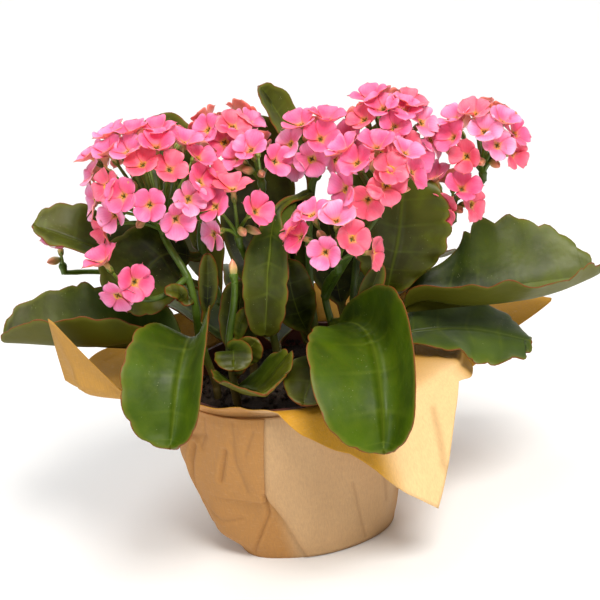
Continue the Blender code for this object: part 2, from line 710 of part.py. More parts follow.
def flower(centre, facing, turn, size):
    """A four-petalled flower on its tube, as one closed shell."""
    side = facing.cross(Vector((0.2, 0.1, 1))).normalized()
    other = facing.cross(side)

    def around(angle, reach, rise):
        return centre + (side * math.cos(angle) + other * math.sin(angle)) * reach + facing * rise

    vertices = [centre - facing * 0.6 * MM, centre - facing * THROAT]
    corners = [turn + math.radians(90 * petal - 45) for petal in range(4)]
    for corner in corners:
        for offset, share in ((0, 0.5), (18, 0.93), (72, 0.93)):
            reach = share * size
            vertices.append(around(corner + math.radians(offset), reach, 0.12 * reach))
    vertices += [around(corner, 1.7 * MM, -PETAL_T) for corner in corners]
    faces = []
    for i in range(12):
        faces.append((0, 2 + i, 2 + (i + 1) % 12))
    for i in range(4):
        j = (i + 1) % 4
        faces.append((14 + i, 14 + j, 3 + 3 * i))
        faces.append((14 + i, 3 + 3 * i, 2 + 3 * i))
        faces.append((14 + j, 4 + 3 * i, 3 + 3 * i))
        faces.append((14 + j, 2 + 3 * j, 4 + 3 * i))
        faces.append((1, 14 + j, 14 + i))
    return vertices, faces


def bud(centre, facing):
    """A closed, pointed bud."""
    foot = centre - facing * THROAT
    ends = [foot, foot + facing * BUD_L * 0.5, foot + facing * BUD_L]
    vertices, faces = tube(ends, BUD_R * 0.5, BUD_R * 0.25, 4, 6)
    for row in (6, 12):
        middle = np.mean(vertices[row:row + 6], axis=0)
        for i in range(6):
            out = np.array(vertices[row + i]) - middle
            vertices[row + i] = middle + out / np.linalg.norm(out) * BUD_R
    return vertices, faces


def head_frame():
    """The right, up and outward directions of a flower head's front."""
    out = Vector((0, -math.cos(VIEW_RISE), math.sin(VIEW_RISE)))
    right = Vector((1, 0, 0))
    up = Vector((0, math.sin(VIEW_RISE), math.cos(VIEW_RISE)))
    turned_right = right * math.cos(VIEW_LEAN) - up * math.sin(VIEW_LEAN)
    turned_up = up * math.cos(VIEW_LEAN) + right * math.sin(VIEW_LEAN)
    return turned_right, turned_up, out


def head_fork(design):
    """Where a head's stalklets part, just above its shoot's end."""
    return place(design["middle"]) - Vector((0, 0, 0.8 * design["dome"] * SPREAD))


def sites(design):
    """Each flower's and bud's place, the way it faces and whether it is a bud."""
    right, up, out = head_frame()
    centre = place(design["middle"])
    dome = design["dome"] * SPREAD
    found = []
    for kind, sign in (("front", 1), ("buds", 1), ("back", -1)):
        for r, u in design[kind]:
            flat = (r * r + u * u) * SPREAD * SPREAD
            depth = math.sqrt(max(dome * dome - flat, (0.3 * dome) ** 2))
            offset = right * r * SPREAD + up * u * SPREAD + out * depth * sign
            if sign < 0:
                offset.z = abs(offset.z) * 0.6 + 0.2 * dome
            facing = (offset + Vector((0, 0, 0.35 * dome + max(0, u) * SPREAD))).normalized()
            found.append((centre + offset, facing, kind == "buds"))
    return found


def open_size(name, spot):
    """How wide a flower opens: a flower of another head that is close by leaves it less room."""
    size = FLOWER_R
    for other, design in HEADS.items():
        if other != name:
            for near, _, closed in sites(design):
                room = (near - spot).length - GAP
                size = min(size, room - BUD_R if closed else room / 2)
    return size


def flower_head(name, design, finish):
    pieces = []
    fork = head_fork(design)
    for number, (spot, facing, closed) in enumerate(sites(design)):
        if closed:
            pieces.append(bud(spot, facing))
        else:
            pieces.append(flower(spot, facing, number * 1.3, open_size(name, spot)))
        back = spot - facing * 2.5 * MM
        bend = back - facing * 0.3 * (back - fork).length
        pieces.append(tube([fork, fork.lerp(bend, 0.6), back], STALK_R, STALK_R, 3, 3))
    hub = tube([fork - Vector((0, 0, HUB)), fork + Vector((0, 0, HUB))], SHOOT_R * 0.8, SHOOT_R, 2, 8)
    crown = add_object("crown", *gather(pieces))
    return combine(name, crown, add_object("hub", *hub), "UNION", finish)


def main():
    for old in list(bpy.data.objects):
        bpy.data.objects.remove(old)
    green = material("leaf_green", (0.09, 0.2, 0.02), 0.38)
    stem_green = material("stem_green", (0.13, 0.28, 0.04), 0.45)
    pink = material("petal_pink", (0.9, 0.2, 0.38), 0.55)
    pot(material("pot_plastic", (0.12, 0.06, 0.04), 0.5))
    soil(material("compost", (0.03, 0.02, 0.012), 0.95))
    paper_wrap(material("kraft_paper", (0.6, 0.4, 0.22), 0.75))
    for name, routes in SHOOTS.items():
        shoot(name, routes, stem_green)
    for name, design in LEAVES.items():
        large = max(design["half"]) > 14
        leaf(name, design, green, 9 if large else 6, 2)
    for name, design in HEADS.items():
        flower_head(name, design, pink)


main()
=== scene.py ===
"""A potted kalanchoe in a kraft paper wrap, with its looks.

The layout is that of the CAD source: places are in metres, the plant's own tables are in
millimetres from the middle of the pot's rim, +Z is up and the front is -Y.
"""

import math

import bmesh
import bpy
import numpy as np
from mathutils import Matrix, Vector


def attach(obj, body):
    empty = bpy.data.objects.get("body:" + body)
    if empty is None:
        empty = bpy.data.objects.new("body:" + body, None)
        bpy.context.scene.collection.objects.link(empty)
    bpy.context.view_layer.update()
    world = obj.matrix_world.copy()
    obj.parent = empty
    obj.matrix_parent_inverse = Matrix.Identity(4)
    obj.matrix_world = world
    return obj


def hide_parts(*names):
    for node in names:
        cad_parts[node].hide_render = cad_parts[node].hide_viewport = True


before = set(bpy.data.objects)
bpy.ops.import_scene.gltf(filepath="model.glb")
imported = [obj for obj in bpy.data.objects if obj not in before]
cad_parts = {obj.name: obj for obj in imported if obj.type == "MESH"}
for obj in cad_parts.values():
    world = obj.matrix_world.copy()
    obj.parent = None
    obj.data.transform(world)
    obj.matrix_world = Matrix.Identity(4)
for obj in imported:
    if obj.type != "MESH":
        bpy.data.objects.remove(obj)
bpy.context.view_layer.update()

MM = 0.001

# The sizes and the layout of the CAD source
RIM_R = 55 * MM
FOOT_R = 39 * MM
POT_H = 88 * MM
POT_WALL = 1.2 * MM
LIP_OUT = 1.5 * MM
LIP_H = 6 * MM
SOIL_DROP = 8 * MM
SOCKET = 22 * MM
PAPER = 0.6 * MM
GAP = 0.4 * MM
PLANT_RIM = 55
SHOOT_R = 2.1 * MM
LEAF_T = 1.8 * MM
PETIOLE_R = 2.2 * MM
FLOWER_R = 10.3 * MM
THROAT = 6.5 * MM
HUB = 2 * MM
BUD_R = 2.1 * MM
BUD_L = 9 * MM
SPREAD = RIM_R / PLANT_RIM
POT_Z = PAPER + GAP
RIM_Z = POT_Z + POT_H
WRAP_RIM = RIM_R + LIP_OUT + GAP + PAPER / 2
VIEW_RISE = math.radians(20)
VIEW_LEAN = math.radians(9)

# The paper beyond the rim: at each heading, in degrees from +X, how far its first and second
# lengths reach outwards and how far each rises, in the plant's millimetres.
COLLAR = [
    (0, 28, -4, 8, -14),
    (8, 36, -4, 26, -4),
    (16, 45, -1, 50, -2),
    (24, 40, 2, 32, 0),
    (40, 24, 6, 14, 4),
    (56, 14, 9, 8, 5),
    (88, 13, 9, 8, 5),
    (120, 15, 8, 9, 5),
    (152, 24, 6, 12, 5),
    (168, 34, 7, 12, 4),
    (184, 40, 9, 10, 4),
    (192, 42, 11, 11, 8),
    (200, 44, 14, 12, 44),
    (208, 20, 7, 11, 8),
    (216, 12, 4, 6, 4),
    (232, 6, 4, 4, 3),
    (248, 4, 4, 3, 3),
    (264, 5, 2, 4, 1),
    (272, 7, -1, 6, -6),
    (288, 9, -3, 8, -18),
    (296, 12, -4, 10, -28),
    (304, 14, -4, 13, -42),
    (312, 18, -3, 16, -54),
    (320, 20, -3, 14, -36),
    (328, 22, -2, 11, -18),
    (336, 24, -1, 8, -7),
    (344, 26, -2, 9, -9),
]

# Where the paper is loose round the pot: the middle heading and the spread in degrees, how far it
# stands off in the plant's millimetres, and the share of the pot's height between which it does.
SLACK = [
    (190, 30, 8.5, 0.15, 0.6),
    (222, 22, 4, 0, 0.2),
    (335, 32, 4.5, 0, 0.25),
    (80, 60, 2, 0.1, 0.7),
]

# Each shoot's route from the compost, then the routes of the stalks that branch off it. A route
# that ends with a flower head's name goes up to just below it.
SHOOTS = {
    "shoot_left": [
        [(-37, -8, 0), (-40, -16, 26), (-39, -22, 45), (-40, -21, 61), (-46, -14, 74), "flowers_left_dome"],
        [(-40, -21, 61), (-54, -26, 55), "flowers_lower_left"],
    ],
    "shoot_front_left": [
        [(-27, -23, 0), (-26, -23, 24), (-20, -24, 46), "bud_single"],
    ],
    "shoot_back_left": [
        [(-18, 12, 0), (-28, 10, 35), (-33, 13, 68), (-22, 18, 92), "flowers_back_left"],
        [(-28, 10, 35), (-50, 26, 46), (-86, 30, 54), "flowers_far_left"],
    ],
    "shoot_middle": [
        [(-4, 2, 0), (-6, -2, 40), (-11, -10, 62), "flowers_lower_middle"],
        [(-6, -2, 40), (0, 5, 70), "flowers_middle"],
    ],
    "shoot_centre_right": [
        [(16, 8, 0), (19, 9, 50), (26, 10, 86), "flowers_centre_top"],
    ],
    "shoot_front_right": [
        [(28, -6, 0), (24, -4, 34), (29, -14, 48), "flowers_lower_front"],
        [(24, -4, 34), (38, -15, 56), "flowers_right_front"],
    ],
    "shoot_right": [
        [(38, 2, 0), (50, 5, 16), (61, 7, 35), (79, 16, 58), "flowers_right_dome"],
        [(61, 7, 35), (77, 3, 50), "flowers_right_lower"],
    ],
    "shoot_back_right": [
        [(34, 18, 0), (46, 20, 52), (60, 18, 84), "flowers_top"],
    ],
}

# Each leaf: the shoot that it grows from, the height of its base, the rest of its midrib, the way
# its upper side faces at the base and at the tip, its half widths on its own left and right, how
# far each half folds up at the base and at the tip, in degrees, and how soon it broadens.
LEAVES = {
    "leaf_front_left": dict(
        shoot="shoot_left", height=27,
        midrib=[(-43, -42, 37), (-49, -66, 29), (-57, -83, 2)],
        up=[(0.1, -0.3, 0.95), (-0.1, -0.9, 0.35)], half=(28, 26),
        fold=[(84, 30), (58, 26)], broad=0.12),
    "leaf_front_right": dict(
        shoot="shoot_front_right", height=20,
        midrib=[(38, -28, 25), (42, -52, 22), (41, -77, 7), (38, -89, -14)],
        up=[(0, -0.1, 1), (0.05, -0.9, 0.4)], half=(35, 34),
        fold=[(74, 22), (78, 26)], broad=0.14),
    "leaf_right_large": dict(
        shoot="shoot_right", height=20,
        midrib=[(72, -1, 24), (95, -3, 18), (128, 0, 17), (163, 5, 22)],
        up=[(0, -0.1, 1), (0, -0.1, 1)], half=(44, 30),
        fold=[(66, 60), (52, 40)], broad=0.2),
    "leaf_right_low": dict(
        shoot="shoot_right", height=5,
        midrib=[(66, -4, 8), (94, -2, 4), (124, -6, -7)],
        up=[(0, -0.15, 1), (0.1, -0.3, 1)], half=(22, 24),
        fold=[(20, 8), (4, -6)], broad=0.2),
    "leaf_right_upright": dict(
        shoot="shoot_right", height=29,
        midrib=[(58, -5, 42), (64, -9, 62), (71, -4, 90)],
        up=[(0.1, -0.8, 0.5), (0.1, -0.95, 0.25)], half=(22, 24),
        fold=[(12, 8), (10, 6)], broad=0.12),
    "leaf_tall_back": dict(
        shoot="shoot_centre_right", height=80,
        midrib=[(26, 22, 90), (20, 29, 110), (8, 35, 136)],
        up=[(0.7, -0.5, 0.4), (0.75, -0.5, 0.4)], half=(13, 13),
        fold=[(14, 12), (20, 16)], broad=0.3),
    "leaf_centre_hanging": dict(
        shoot="shoot_centre_right", height=84,
        midrib=[(8, -9, 84), (0, -20, 64), (-4, -28, 46), (-8, -25, 26)],
        up=[(-0.4, -0.8, 0.5), (-0.1, -0.95, 0.3)], half=(11, 12),
        fold=[(12, 20), (20, 10)], broad=0.5),
    "leaf_back_round": dict(
        shoot="shoot_middle", height=20,
        midrib=[(-8, 22, 50), (0, 41, 86), (5, 50, 118)],
        up=[(0, -0.7, 0.7), (0, -0.95, 0.3)], half=(19, 19),
        fold=[(16, 12), (16, 12)], broad=0.3),
    "leaf_back_left": dict(
        shoot="shoot_back_left", height=66,
        midrib=[(-41, 32, 98), (-44, 43, 128)],
        up=[(0, -0.7, 0.7), (0, -0.95, 0.3)], half=(17, 17),
        fold=[(16, 12), (16, 12)], broad=0.3),
    "leaf_left_high": dict(
        shoot="shoot_back_left", height=44,
        midrib=[(-58, 7, 60), (-84, 7, 74), (-113, 10, 90)],
        up=[(0, -0.35, 0.9), (0, -0.35, 0.9)], half=(12, 22),
        fold=[(48, 40), (20, 20)], broad=0.25),
    "leaf_left_low": dict(
        shoot="shoot_left", height=14,
        midrib=[(-64, -8, 28), (-94, -12, 32), (-136, -10, 40)],
        up=[(0, -0.1, 1), (0, -0.1, 1)], half=(26, 32),
        fold=[(66, 56), (62, 50)], broad=0.2),
    "leaf_left_middle": dict(
        shoot="shoot_back_left", height=60,
        midrib=[(-52, -4, 68), (-76, -15, 50)],
        up=[(-0.1, -0.8, 0.6), (-0.1, -0.95, 0.3)], half=(20, 22),
        fold=[(10, 8), (10, 8)], broad=0.25),
    "leaf_front_cup": dict(
        shoot="shoot_front_left", height=3,
        midrib=[(-22, -36, 6), (-17, -50, 9), (-11, -63, 13)],
        up=[(0.1, -0.1, 1), (0.15, -0.3, 1)], half=(27, 22),
        fold=[(50, 58), (30, 34)], broad=0.1),
    "leaf_front_round": dict(
        shoot="shoot_front_right", height=2,
        midrib=[(18, -28, 11), (12, -46, 11), (5, -62, 4)],
        up=[(0, -0.3, 1), (0, -0.9, 0.5)], half=(13, 14),
        fold=[(10, -6), (10, -6)], broad=0.35),
    "leaf_centre_dark": dict(
        shoot="shoot_centre_right", height=6,
        midrib=[(8, 14, 26), (8, 18, 50), (12, 20, 76)],
        up=[(0, -0.7, 0.7), (0, -0.95, 0.2)], half=(12, 13),
        fold=[(16, 12), (16, 12)], broad=0.3),
    "leaf_inner_right": dict(
        shoot="shoot_back_right", height=12,
        midrib=[(32, 26, 24), (32, 32, 44), (32, 34, 66)],
        up=[(0, -0.7, 0.7), (0, -0.95, 0.2)], half=(15, 15),
        fold=[(14, 10), (14, 10)], broad=0.3),
    "leaf_inner_front_left": dict(
        shoot="shoot_front_left", height=8,
        midrib=[(-22, -12, 20), (-18, -6, 34), (-17, -4, 50)],
        up=[(0, -0.8, 0.6), (0, -0.95, 0.2)], half=(11, 10),
        fold=[(6, 4), (6, 4)], broad=0.3),
    "leaf_inner_front": dict(
        shoot="shoot_centre_right", height=12,
        midrib=[(10, -4, 26), (8, -8, 44), (9, -8, 58)],
        up=[(0, -0.9, 0.4), (0, -0.95, 0.2)], half=(11, 11),
        fold=[(14, 10), (14, 10)], broad=0.3),
    "leaf_narrow_right": dict(
        shoot="shoot_front_right", height=14,
        midrib=[(42, -17, 22), (46, -20, 38), (53, -20, 52)],
        up=[(-0.4, -0.9, 0.3), (-0.4, -0.9, 0.2)], half=(6, 6),
        fold=[(20, 20), (10, 10)], broad=0.3),
    "leaf_narrow_left": dict(
        shoot="shoot_left", height=34,
        midrib=[(-33, -17, 47), (-31, -16, 57), (-29, -17, 70)],
        up=[(0.3, -0.9, 0.3), (0.3, -0.9, 0.2)], half=(5, 5),
        fold=[(20, 20), (10, 10)], broad=0.3),
    "leaf_young_scalloped": dict(
        shoot="shoot_front_left", height=20,
        midrib=[(-24, -33, 24), (-25, -42, 18)],
        up=[(0.1, -0.6, 0.8), (0.1, -0.8, 0.6)], half=(9, 9),
        fold=[(8, 4), (8, 4)], broad=0.2),
    "leaf_young_middle": dict(
        shoot="shoot_front_left", height=11,
        midrib=[(-19, -25, 18), (-12, -26, 26)],
        up=[(0.1, -0.9, 0.4), (0.1, -0.95, 0.4)], half=(7, 7),
        fold=[(10, 8), (10, 8)], broad=0.3),
    "leaf_young_pointed": dict(
        shoot="shoot_front_left", height=25,
        midrib=[(-19, -21, 33), (-13, -21, 41)],
        up=[(-0.2, -0.9, 0.4), (-0.2, -0.95, 0.4)], half=(4, 4),
        fold=[(10, 8), (10, 8)], broad=0.3),
    "leaf_bract": dict(
        shoot="shoot_left", height=50,
        midrib=[(-45, -27, 56), (-51, -30, 59)],
        up=[(0, -0.7, 0.7), (0, -0.7, 0.7)], half=(4, 4),
        fold=[(10, 8), (10, 8)], broad=0.3),
    "leaf_rear_left": dict(
        shoot="shoot_back_left", height=3,
        midrib=[(-36, 34, 12), (-60, 54, 26), (-82, 66, 16)],
        up=[(0, 0.1, 1), (-0.2, 0.2, 1)], half=(24, 24),
        fold=[(34, 14), (34, 14)], broad=0.25),
    "leaf_rear_middle": dict(
        shoot="shoot_middle", height=3,
        midrib=[(-4, 36, 10), (-6, 66, 24), (-8, 94, 16)],
        up=[(0, 0, 1), (0, 0.3, 1)], half=(25, 25),
        fold=[(34, 14), (34, 14)], broad=0.25),
    "leaf_rear_right": dict(
        shoot="shoot_back_right", height=3,
        midrib=[(52, 36, 14), (70, 54, 28), (92, 72, 20)],
        up=[(0, 0, 1), (0.2, 0.2, 1)], half=(24, 24),
        fold=[(30, 14), (30, 14)], broad=0.25),
    "leaf_rear_upright": dict(
        shoot="shoot_back_right", height=40,
        midrib=[(58, 36, 60), (68, 46, 84), (76, 50, 104)],
        up=[(-0.1, -0.8, 0.5), (-0.1, -0.9, 0.3)], half=(18, 18),
        fold=[(14, 10), (14, 10)], broad=0.25),
    "leaf_rear_tall": dict(
        shoot="shoot_back_left", height=30,
        midrib=[(-36, 30, 62), (-44, 44, 86), (-50, 52, 104)],
        up=[(0.1, 0.6, 0.8), (0.1, 0.9, 0.4)], half=(18, 18),
        fold=[(14, 10), (14, 10)], broad=0.25),
}

# Each flower head: its middle, the radius of its dome, and its flowers and buds as places on the
# front and on the back of the dome, to the right and up from the middle.
HEADS = {
    "flowers_left_dome": dict(
        middle=(-49, -5, 105), dome=29,
        front=[(-2, 6), (10, 4), (23, -1), (12, -18), (16, 17), (-18, 12), (-27, 4), (-8, 21), (4, 22),
               (-26, -9), (-22, -22), (-11, -8), (1, -12), (22, 10), (18, -9), (28, 5), (-19, -3),
               (4, 14), (-9, 12), (-16, -16), (-28, 12), (-18, 20)],
        back=[(-14, 10), (8, 14), (-4, -8), (16, -6), (-24, 0), (22, 6), (-4, 4), (-14, -12)],
        buds=[(-5, -21), (21, -13), (-8, -2), (14, -12)]),
    "flowers_back_left": dict(
        middle=(-12, 25, 116), dome=13,
        front=[(-8, 1), (4, 2), (11, 5), (0, -5)],
        back=[(0, 4), (-8, -4), (9, -3)],
        buds=[(-3, 6)]),
    "flowers_middle": dict(
        middle=(2, 5, 105), dome=13,
        front=[(-3, 4), (8, -1), (-9, 1)],
        back=[(0, 2)],
        buds=[(-6, -5), (-10, -3), (2, -7)]),
    "flowers_lower_middle": dict(
        middle=(-13, -15, 87), dome=15,
        front=[(-9, -10), (10, 0), (0, 10), (-8, 2)],
        back=[],
        buds=[(5, -10), (11, -9)]),
    "flowers_lower_left": dict(
        middle=(-69, -25, 69), dome=12,
        front=[(-8, 5), (6, -4), (-2, -10)],
        back=[],
        buds=[(10, -9)]),
    "flowers_far_left": dict(
        middle=(-105, 24, 69), dome=8,
        front=[(1, 4)],
        back=[],
        buds=[(-4, -4)]),
    "flowers_top": dict(
        middle=(67, 17, 106), dome=22,
        front=[(-5, -11), (6, -8), (-3, 9), (6, 8), (-12, 4), (15, 3), (20, -4), (-18, -4), (2, 0),
               (12, -13), (-13, -12), (10, 12), (-9, 14)],
        back=[(-10, 4), (6, 8), (2, -6), (14, 0), (-4, 12)],
        buds=[(0, 15), (13, -3), (-11, -3)]),
    "flowers_centre_top": dict(
        middle=(30, 9, 108), dome=15,
        front=[(6, 10), (-6, 8), (-1, -8), (10, -8), (-11, -1), (3, 1), (-9, -10)],
        back=[(0, 4)],
        buds=[(-4, 3)]),
    "flowers_right_front": dict(
        middle=(56, -17, 96), dome=19,
        front=[(-14, -8), (-4, -13), (0, 10), (6, 0), (13, 8), (-9, 3), (-14, 9), (4, -7), (16, -1)],
        back=[(0, 6)],
        buds=[(14, -8), (-2, 3)]),
    "flowers_lower_front": dict(
        middle=(32, -22, 70), dome=18,
        front=[(1, 6), (-4, -8), (8, -2), (18, -8), (-15, -1), (-10, 9), (-18, 5)],
        back=[],
        buds=[(-7, 1)]),
    "flowers_right_dome": dict(
        middle=(111, 12, 95), dome=19,
        front=[(-14, 1), (-8, -8), (0, 3), (9, 8), (14, -6), (-4, 12), (6, -3), (-13, 10), (15, 3)],
        back=[(-8, 4), (6, 6), (4, -8), (12, 0)],
        buds=[(-1, -11), (7, -12), (-16, -5)]),
    "flowers_right_lower": dict(
        middle=(93, 5, 73), dome=12,
        front=[(-8, 7), (-5, -7), (4, 2), (9, -5)],
        back=[(3, 3)],
        buds=[(4, -8)]),
}
HEADS["bud_single"] = dict(middle=(-18, -24, 62), dome=3, front=[], back=[], buds=[(0, 3)])

# ---------------------------------------------------------------- colours


def paint(code):
    """A colour written as on a screen, as the linear numbers that shaders read."""
    parts = [int(code[i:i + 2], 16) / 255 for i in (0, 2, 4)]
    return np.array([c / 12.92 if c < 0.04045 else ((c + 0.055) / 1.055) ** 2.4 for c in parts])


def mix(a, b, share):
    """Between colours a and b, for one share or for one share a vertex."""
    share = np.clip(np.asarray(share, float), 0, 1)[..., None]
    return np.asarray(a) * (1 - share) + np.asarray(b) * share


def step(low, high, value):
    """0 below low, 1 above high, smooth in between."""
    t = np.clip((np.asarray(value, float) - low) / (high - low), 0, 1)
    return t * t * (3 - 2 * t)


# ---------------------------------------------------------------- mesh making


class Shape:
    """Collects the vertices, faces and vertex values of one piece."""

    def __init__(self):
        self.points, self.faces, self.finish, self.count = [], [], [], 0
        self.values = {}

    def add(self, points, faces, finish=0, **values):
        points = np.asarray(points, float).reshape(-1, 3)
        self.points.append(points)
        self.faces += [tuple(int(i) + self.count for i in face) for face in faces]
        self.finish += [finish] * len(faces)
        for key, value in values.items():
            self.values.setdefault(key, []).append((self.count, len(points), value))
        self.count += len(points)

    def made(self, name, materials, nodes, slot):
        mesh = bpy.data.meshes.new(name)
        mesh.from_pydata(np.concatenate(self.points).tolist(), [], self.faces)
        mesh.polygons.foreach_set("material_index", self.finish)
        for key, parts in self.values.items():
            wide = key == "tone"
            data = np.ones((self.count, 4)) if wide else np.zeros(self.count)
            for start, length, value in parts:
                if wide:
                    data[start:start + length, :3] = value
                else:
                    data[start:start + length] = value
            kind, field = ("FLOAT_COLOR", "color") if wide else ("FLOAT", "value")
            made = mesh.attributes.new(key, kind, "POINT")
            made.data.foreach_set(field, data.ravel())
        bm = bmesh.new()
        bm.from_mesh(mesh)
        bmesh.ops.recalc_face_normals(bm, faces=bm.faces)
        bm.to_mesh(mesh)
        bm.free()
        mesh.polygons.foreach_set("use_smooth", [True] * len(mesh.polygons))
        for material in materials:
            mesh.materials.append(material)
        piece = bpy.data.objects.new(name, mesh)
        bpy.context.collection.objects.link(piece)
        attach(piece, "root")
        if nodes:
            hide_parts(*nodes)
        return piece


def grid_faces(rows, columns, start=0, closed=False):
    """Quads between the vertices of a grid, row after row."""
    faces = []
    last = columns if closed else columns - 1
    for i in range(rows - 1):
        for j in range(last):
            a, b = start + i * columns + j, start + i * columns + (j + 1) % columns
            faces.append((a, b, b + columns, a + columns))
    return faces


def normals_of(grid):
    """Unit normals of a grid of points."""
    u = np.gradient(grid, axis=0)
    v = np.gradient(grid, axis=1)
    n = np.cross(u, v)
    length = np.linalg.norm(n, axis=2, keepdims=True)
    return n / np.maximum(length, 1e-12)


def shell(grid, normals, thick):
    """A thin closed sheet round a grid of points: its upper side, its rim and its underside."""
    rows, columns = grid.shape[:2]
    half = np.asarray(thick)[..., None] / 2 if np.ndim(thick) else thick / 2
    over = (grid + normals * half).reshape(-1, 3)
    under = (grid - normals * half).reshape(-1, 3)
    size = rows * columns
    faces = grid_faces(rows, columns)
    faces += [tuple(reversed([size + i for i in face])) for face in grid_faces(rows, columns)]
    ring = list(range(columns))
    ring += [i * columns + columns - 1 for i in range(1, rows)]
    ring += [(rows - 1) * columns + j for j in range(columns - 2, -1, -1)]
    ring += [i * columns for i in range(rows - 2, 0, -1)]
    for a, b in zip(ring, ring[1:] + ring[:1]):
        faces.append((a, size + a, size + b, b))
    return np.concatenate([over, under]), faces


def place(point):
    """A point of the plant's layout, in metres."""
    x, y, z = point
    return Vector((x * SPREAD, y * SPREAD, RIM_Z + z * SPREAD))


def between(a, b, c, d, t):
    """The place at share t of the way from b to c, on a smooth curve through a, b, c and d."""
    return 0.5 * (2 * b + (c - a) * t + (2 * a - 5 * b + 4 * c - d) * t**2
                  + (3 * b - a - 3 * c + d) * t**3)


def smooth_line(points, count):
    """Evenly spaced points on a curve through all the given ones."""
    p = np.array([tuple(q) for q in points], float)
    p = np.vstack([2 * p[0] - p[1], p, 2 * p[-1] - p[-2]])
    dense = []
    for a, b, c, d in zip(p, p[1:], p[2:], p[3:]):
        for t in np.linspace(0, 1, 16, endpoint=False):
            dense.append(between(a, b, c, d, t))
    dense = np.array(dense + [p[-2]])
    along = np.concatenate([[0], np.cumsum(np.linalg.norm(np.diff(dense, axis=0), axis=1))])
    want = np.linspace(0, along[-1], count)
    return np.stack([np.interp(want, along, dense[:, k]) for k in range(3)], axis=1)


def directions(line):
    """Unit directions along a line of points."""
    along = np.gradient(line, axis=0)
    return along / np.linalg.norm(along, axis=1)[:, None]


def cross_directions(facing):
    """Two unit directions at right angles to the way a flower or bud faces."""
    side = np.cross(facing, (0.2, 0.1, 1.0))
    side /= np.linalg.norm(side)
    return side, np.cross(facing, side)


def speck(height=1.0):
    """The corners and faces of a small solid with eight sides, of radius 1."""
    points = [(1, 0, 0), (0, 1, 0), (-1, 0, 0), (0, -1, 0), (0, 0, height), (0, 0, -height)]
    faces = [(0, 1, 4), (1, 2, 4), (2, 3, 4), (3, 0, 4), (1, 0, 5), (2, 1, 5), (3, 2, 5), (0, 3, 5)]
    return np.array(points), faces


def round_bar(line, radii, sides):
    """Points, faces and each point's share of the length, of a round bar along a line."""
    along = directions(line)
    side = np.cross(along[0], (0.31, 0.89, 0.13))
    rings = []
    turns = np.linspace(0, 2 * math.pi, sides, endpoint=False)
    for k, radius in enumerate(radii):
        side = side - along[k] * side.dot(along[k])
        side = side / np.linalg.norm(side)
        other = np.cross(along[k], side)
        rings.append(line[k] + radius * (np.outer(np.cos(turns), side) + np.outer(np.sin(turns), other)))
    points = np.concatenate(rings + [line[:1], line[-1:]])
    rows = len(line)
    faces = grid_faces(rows, sides, closed=True)
    low, high = rows * sides, rows * sides + 1
    for j in range(sides):
        n = (j + 1) % sides
        faces.append((low, n, j))
        faces.append((high, (rows - 1) * sides + j, (rows - 1) * sides + n))
    share = np.concatenate([np.repeat(np.linspace(0, 1, rows), sides), [0, 1]])
    return points, faces, share


# ---------------------------------------------------------------- materials


class Nodes:
    """A material's node tree, and short ways to add to it."""

    def __init__(self, name):
        self.material = bpy.data.materials.new(name)
        self.material.use_nodes = True
        self.tree = self.material.node_tree
        self.shader = self.tree.nodes["Principled BSDF"]

    def node(self, kind, inputs=None, **settings):
        made = self.tree.nodes.new(kind)
        for key, value in settings.items():
            setattr(made, key, value)
        for key, value in (inputs or {}).items():
            if isinstance(value, bpy.types.NodeSocket):
                self.tree.links.new(value, made.inputs[key])
            else:
                made.inputs[key].default_value = value
        return made

    def set(self, **values):
        for key, value in values.items():
            socket = self.shader.inputs[key.replace("_", " ")]
            if isinstance(value, bpy.types.NodeSocket):
                self.tree.links.new(value, socket)
            else:
                socket.default_value = value

    def place(self):
        return self.node("ShaderNodeTexCoord").outputs["Object"]

    def value(self, name):
        return self.node("ShaderNodeAttribute", attribute_name=name).outputs["Fac"]

    def tone(self, name="tone"):
        return self.node("ShaderNodeAttribute", attribute_name=name).outputs["Color"]

    def noise(self, scale, detail=3.0, rough=0.55, vector=None):
        made = self.node("ShaderNodeTexNoise", {"Scale": scale, "Detail": detail, "Roughness": rough})
        self.tree.links.new(vector or self.place(), made.inputs["Vector"])
        return made.outputs["Fac"]

    def cells(self, scale, vector=None, feature="F1"):
        made = self.node("ShaderNodeTexVoronoi", {"Scale": scale}, feature=feature)
        self.tree.links.new(vector or self.place(), made.inputs["Vector"])
        return made.outputs["Distance"]

    def span(self, value, low, high, out_low=0.0, out_high=1.0):
        inputs = {"Value": value, "From Min": low, "From Max": high, "To Min": out_low, "To Max": out_high}
        return self.node("ShaderNodeMapRange", inputs).outputs["Result"]

    def sum(self, kind, a, b):
        made = self.node("ShaderNodeMath", operation=kind)
        for socket, value in zip(made.inputs, (a, b)):
            if isinstance(value, bpy.types.NodeSocket):
                self.tree.links.new(value, socket)
            else:
                socket.default_value = value
        return made.outputs[0]

    def blend(self, share, a, b, kind="MIX"):
        made = self.node("ShaderNodeMix", data_type="RGBA", blend_type=kind)
        for socket, value in ((made.inputs[0], share), (made.inputs[6], a), (made.inputs[7], b)):
            if isinstance(value, bpy.types.NodeSocket):
                self.tree.links.new(value, socket)
            elif np.ndim(value):
                socket.default_value = (*value, 1)
            else:
                socket.default_value = value
        return made.outputs[2]

    def blend_value(self, share, a, b):
        made = self.node("ShaderNodeMix", data_type="FLOAT")
        for socket, value in ((made.inputs[0], share), (made.inputs[2], a), (made.inputs[3], b)):
            if isinstance(value, bpy.types.NodeSocket):
                self.tree.links.new(value, socket)
            else:
                socket.default_value = value
        return made.outputs[0]

    def tint(self, hue, red, green, blue):
        """The hue with each of its three parts made stronger or weaker."""
        return self.blend(1.0, hue, (red, green, blue), "MULTIPLY")

    def bump(self, height, strength, distance):
        made = self.node("ShaderNodeBump", {"Height": height, "Strength": strength, "Distance": distance})
        self.tree.links.new(made.outputs["Normal"], self.shader.inputs["Normal"])


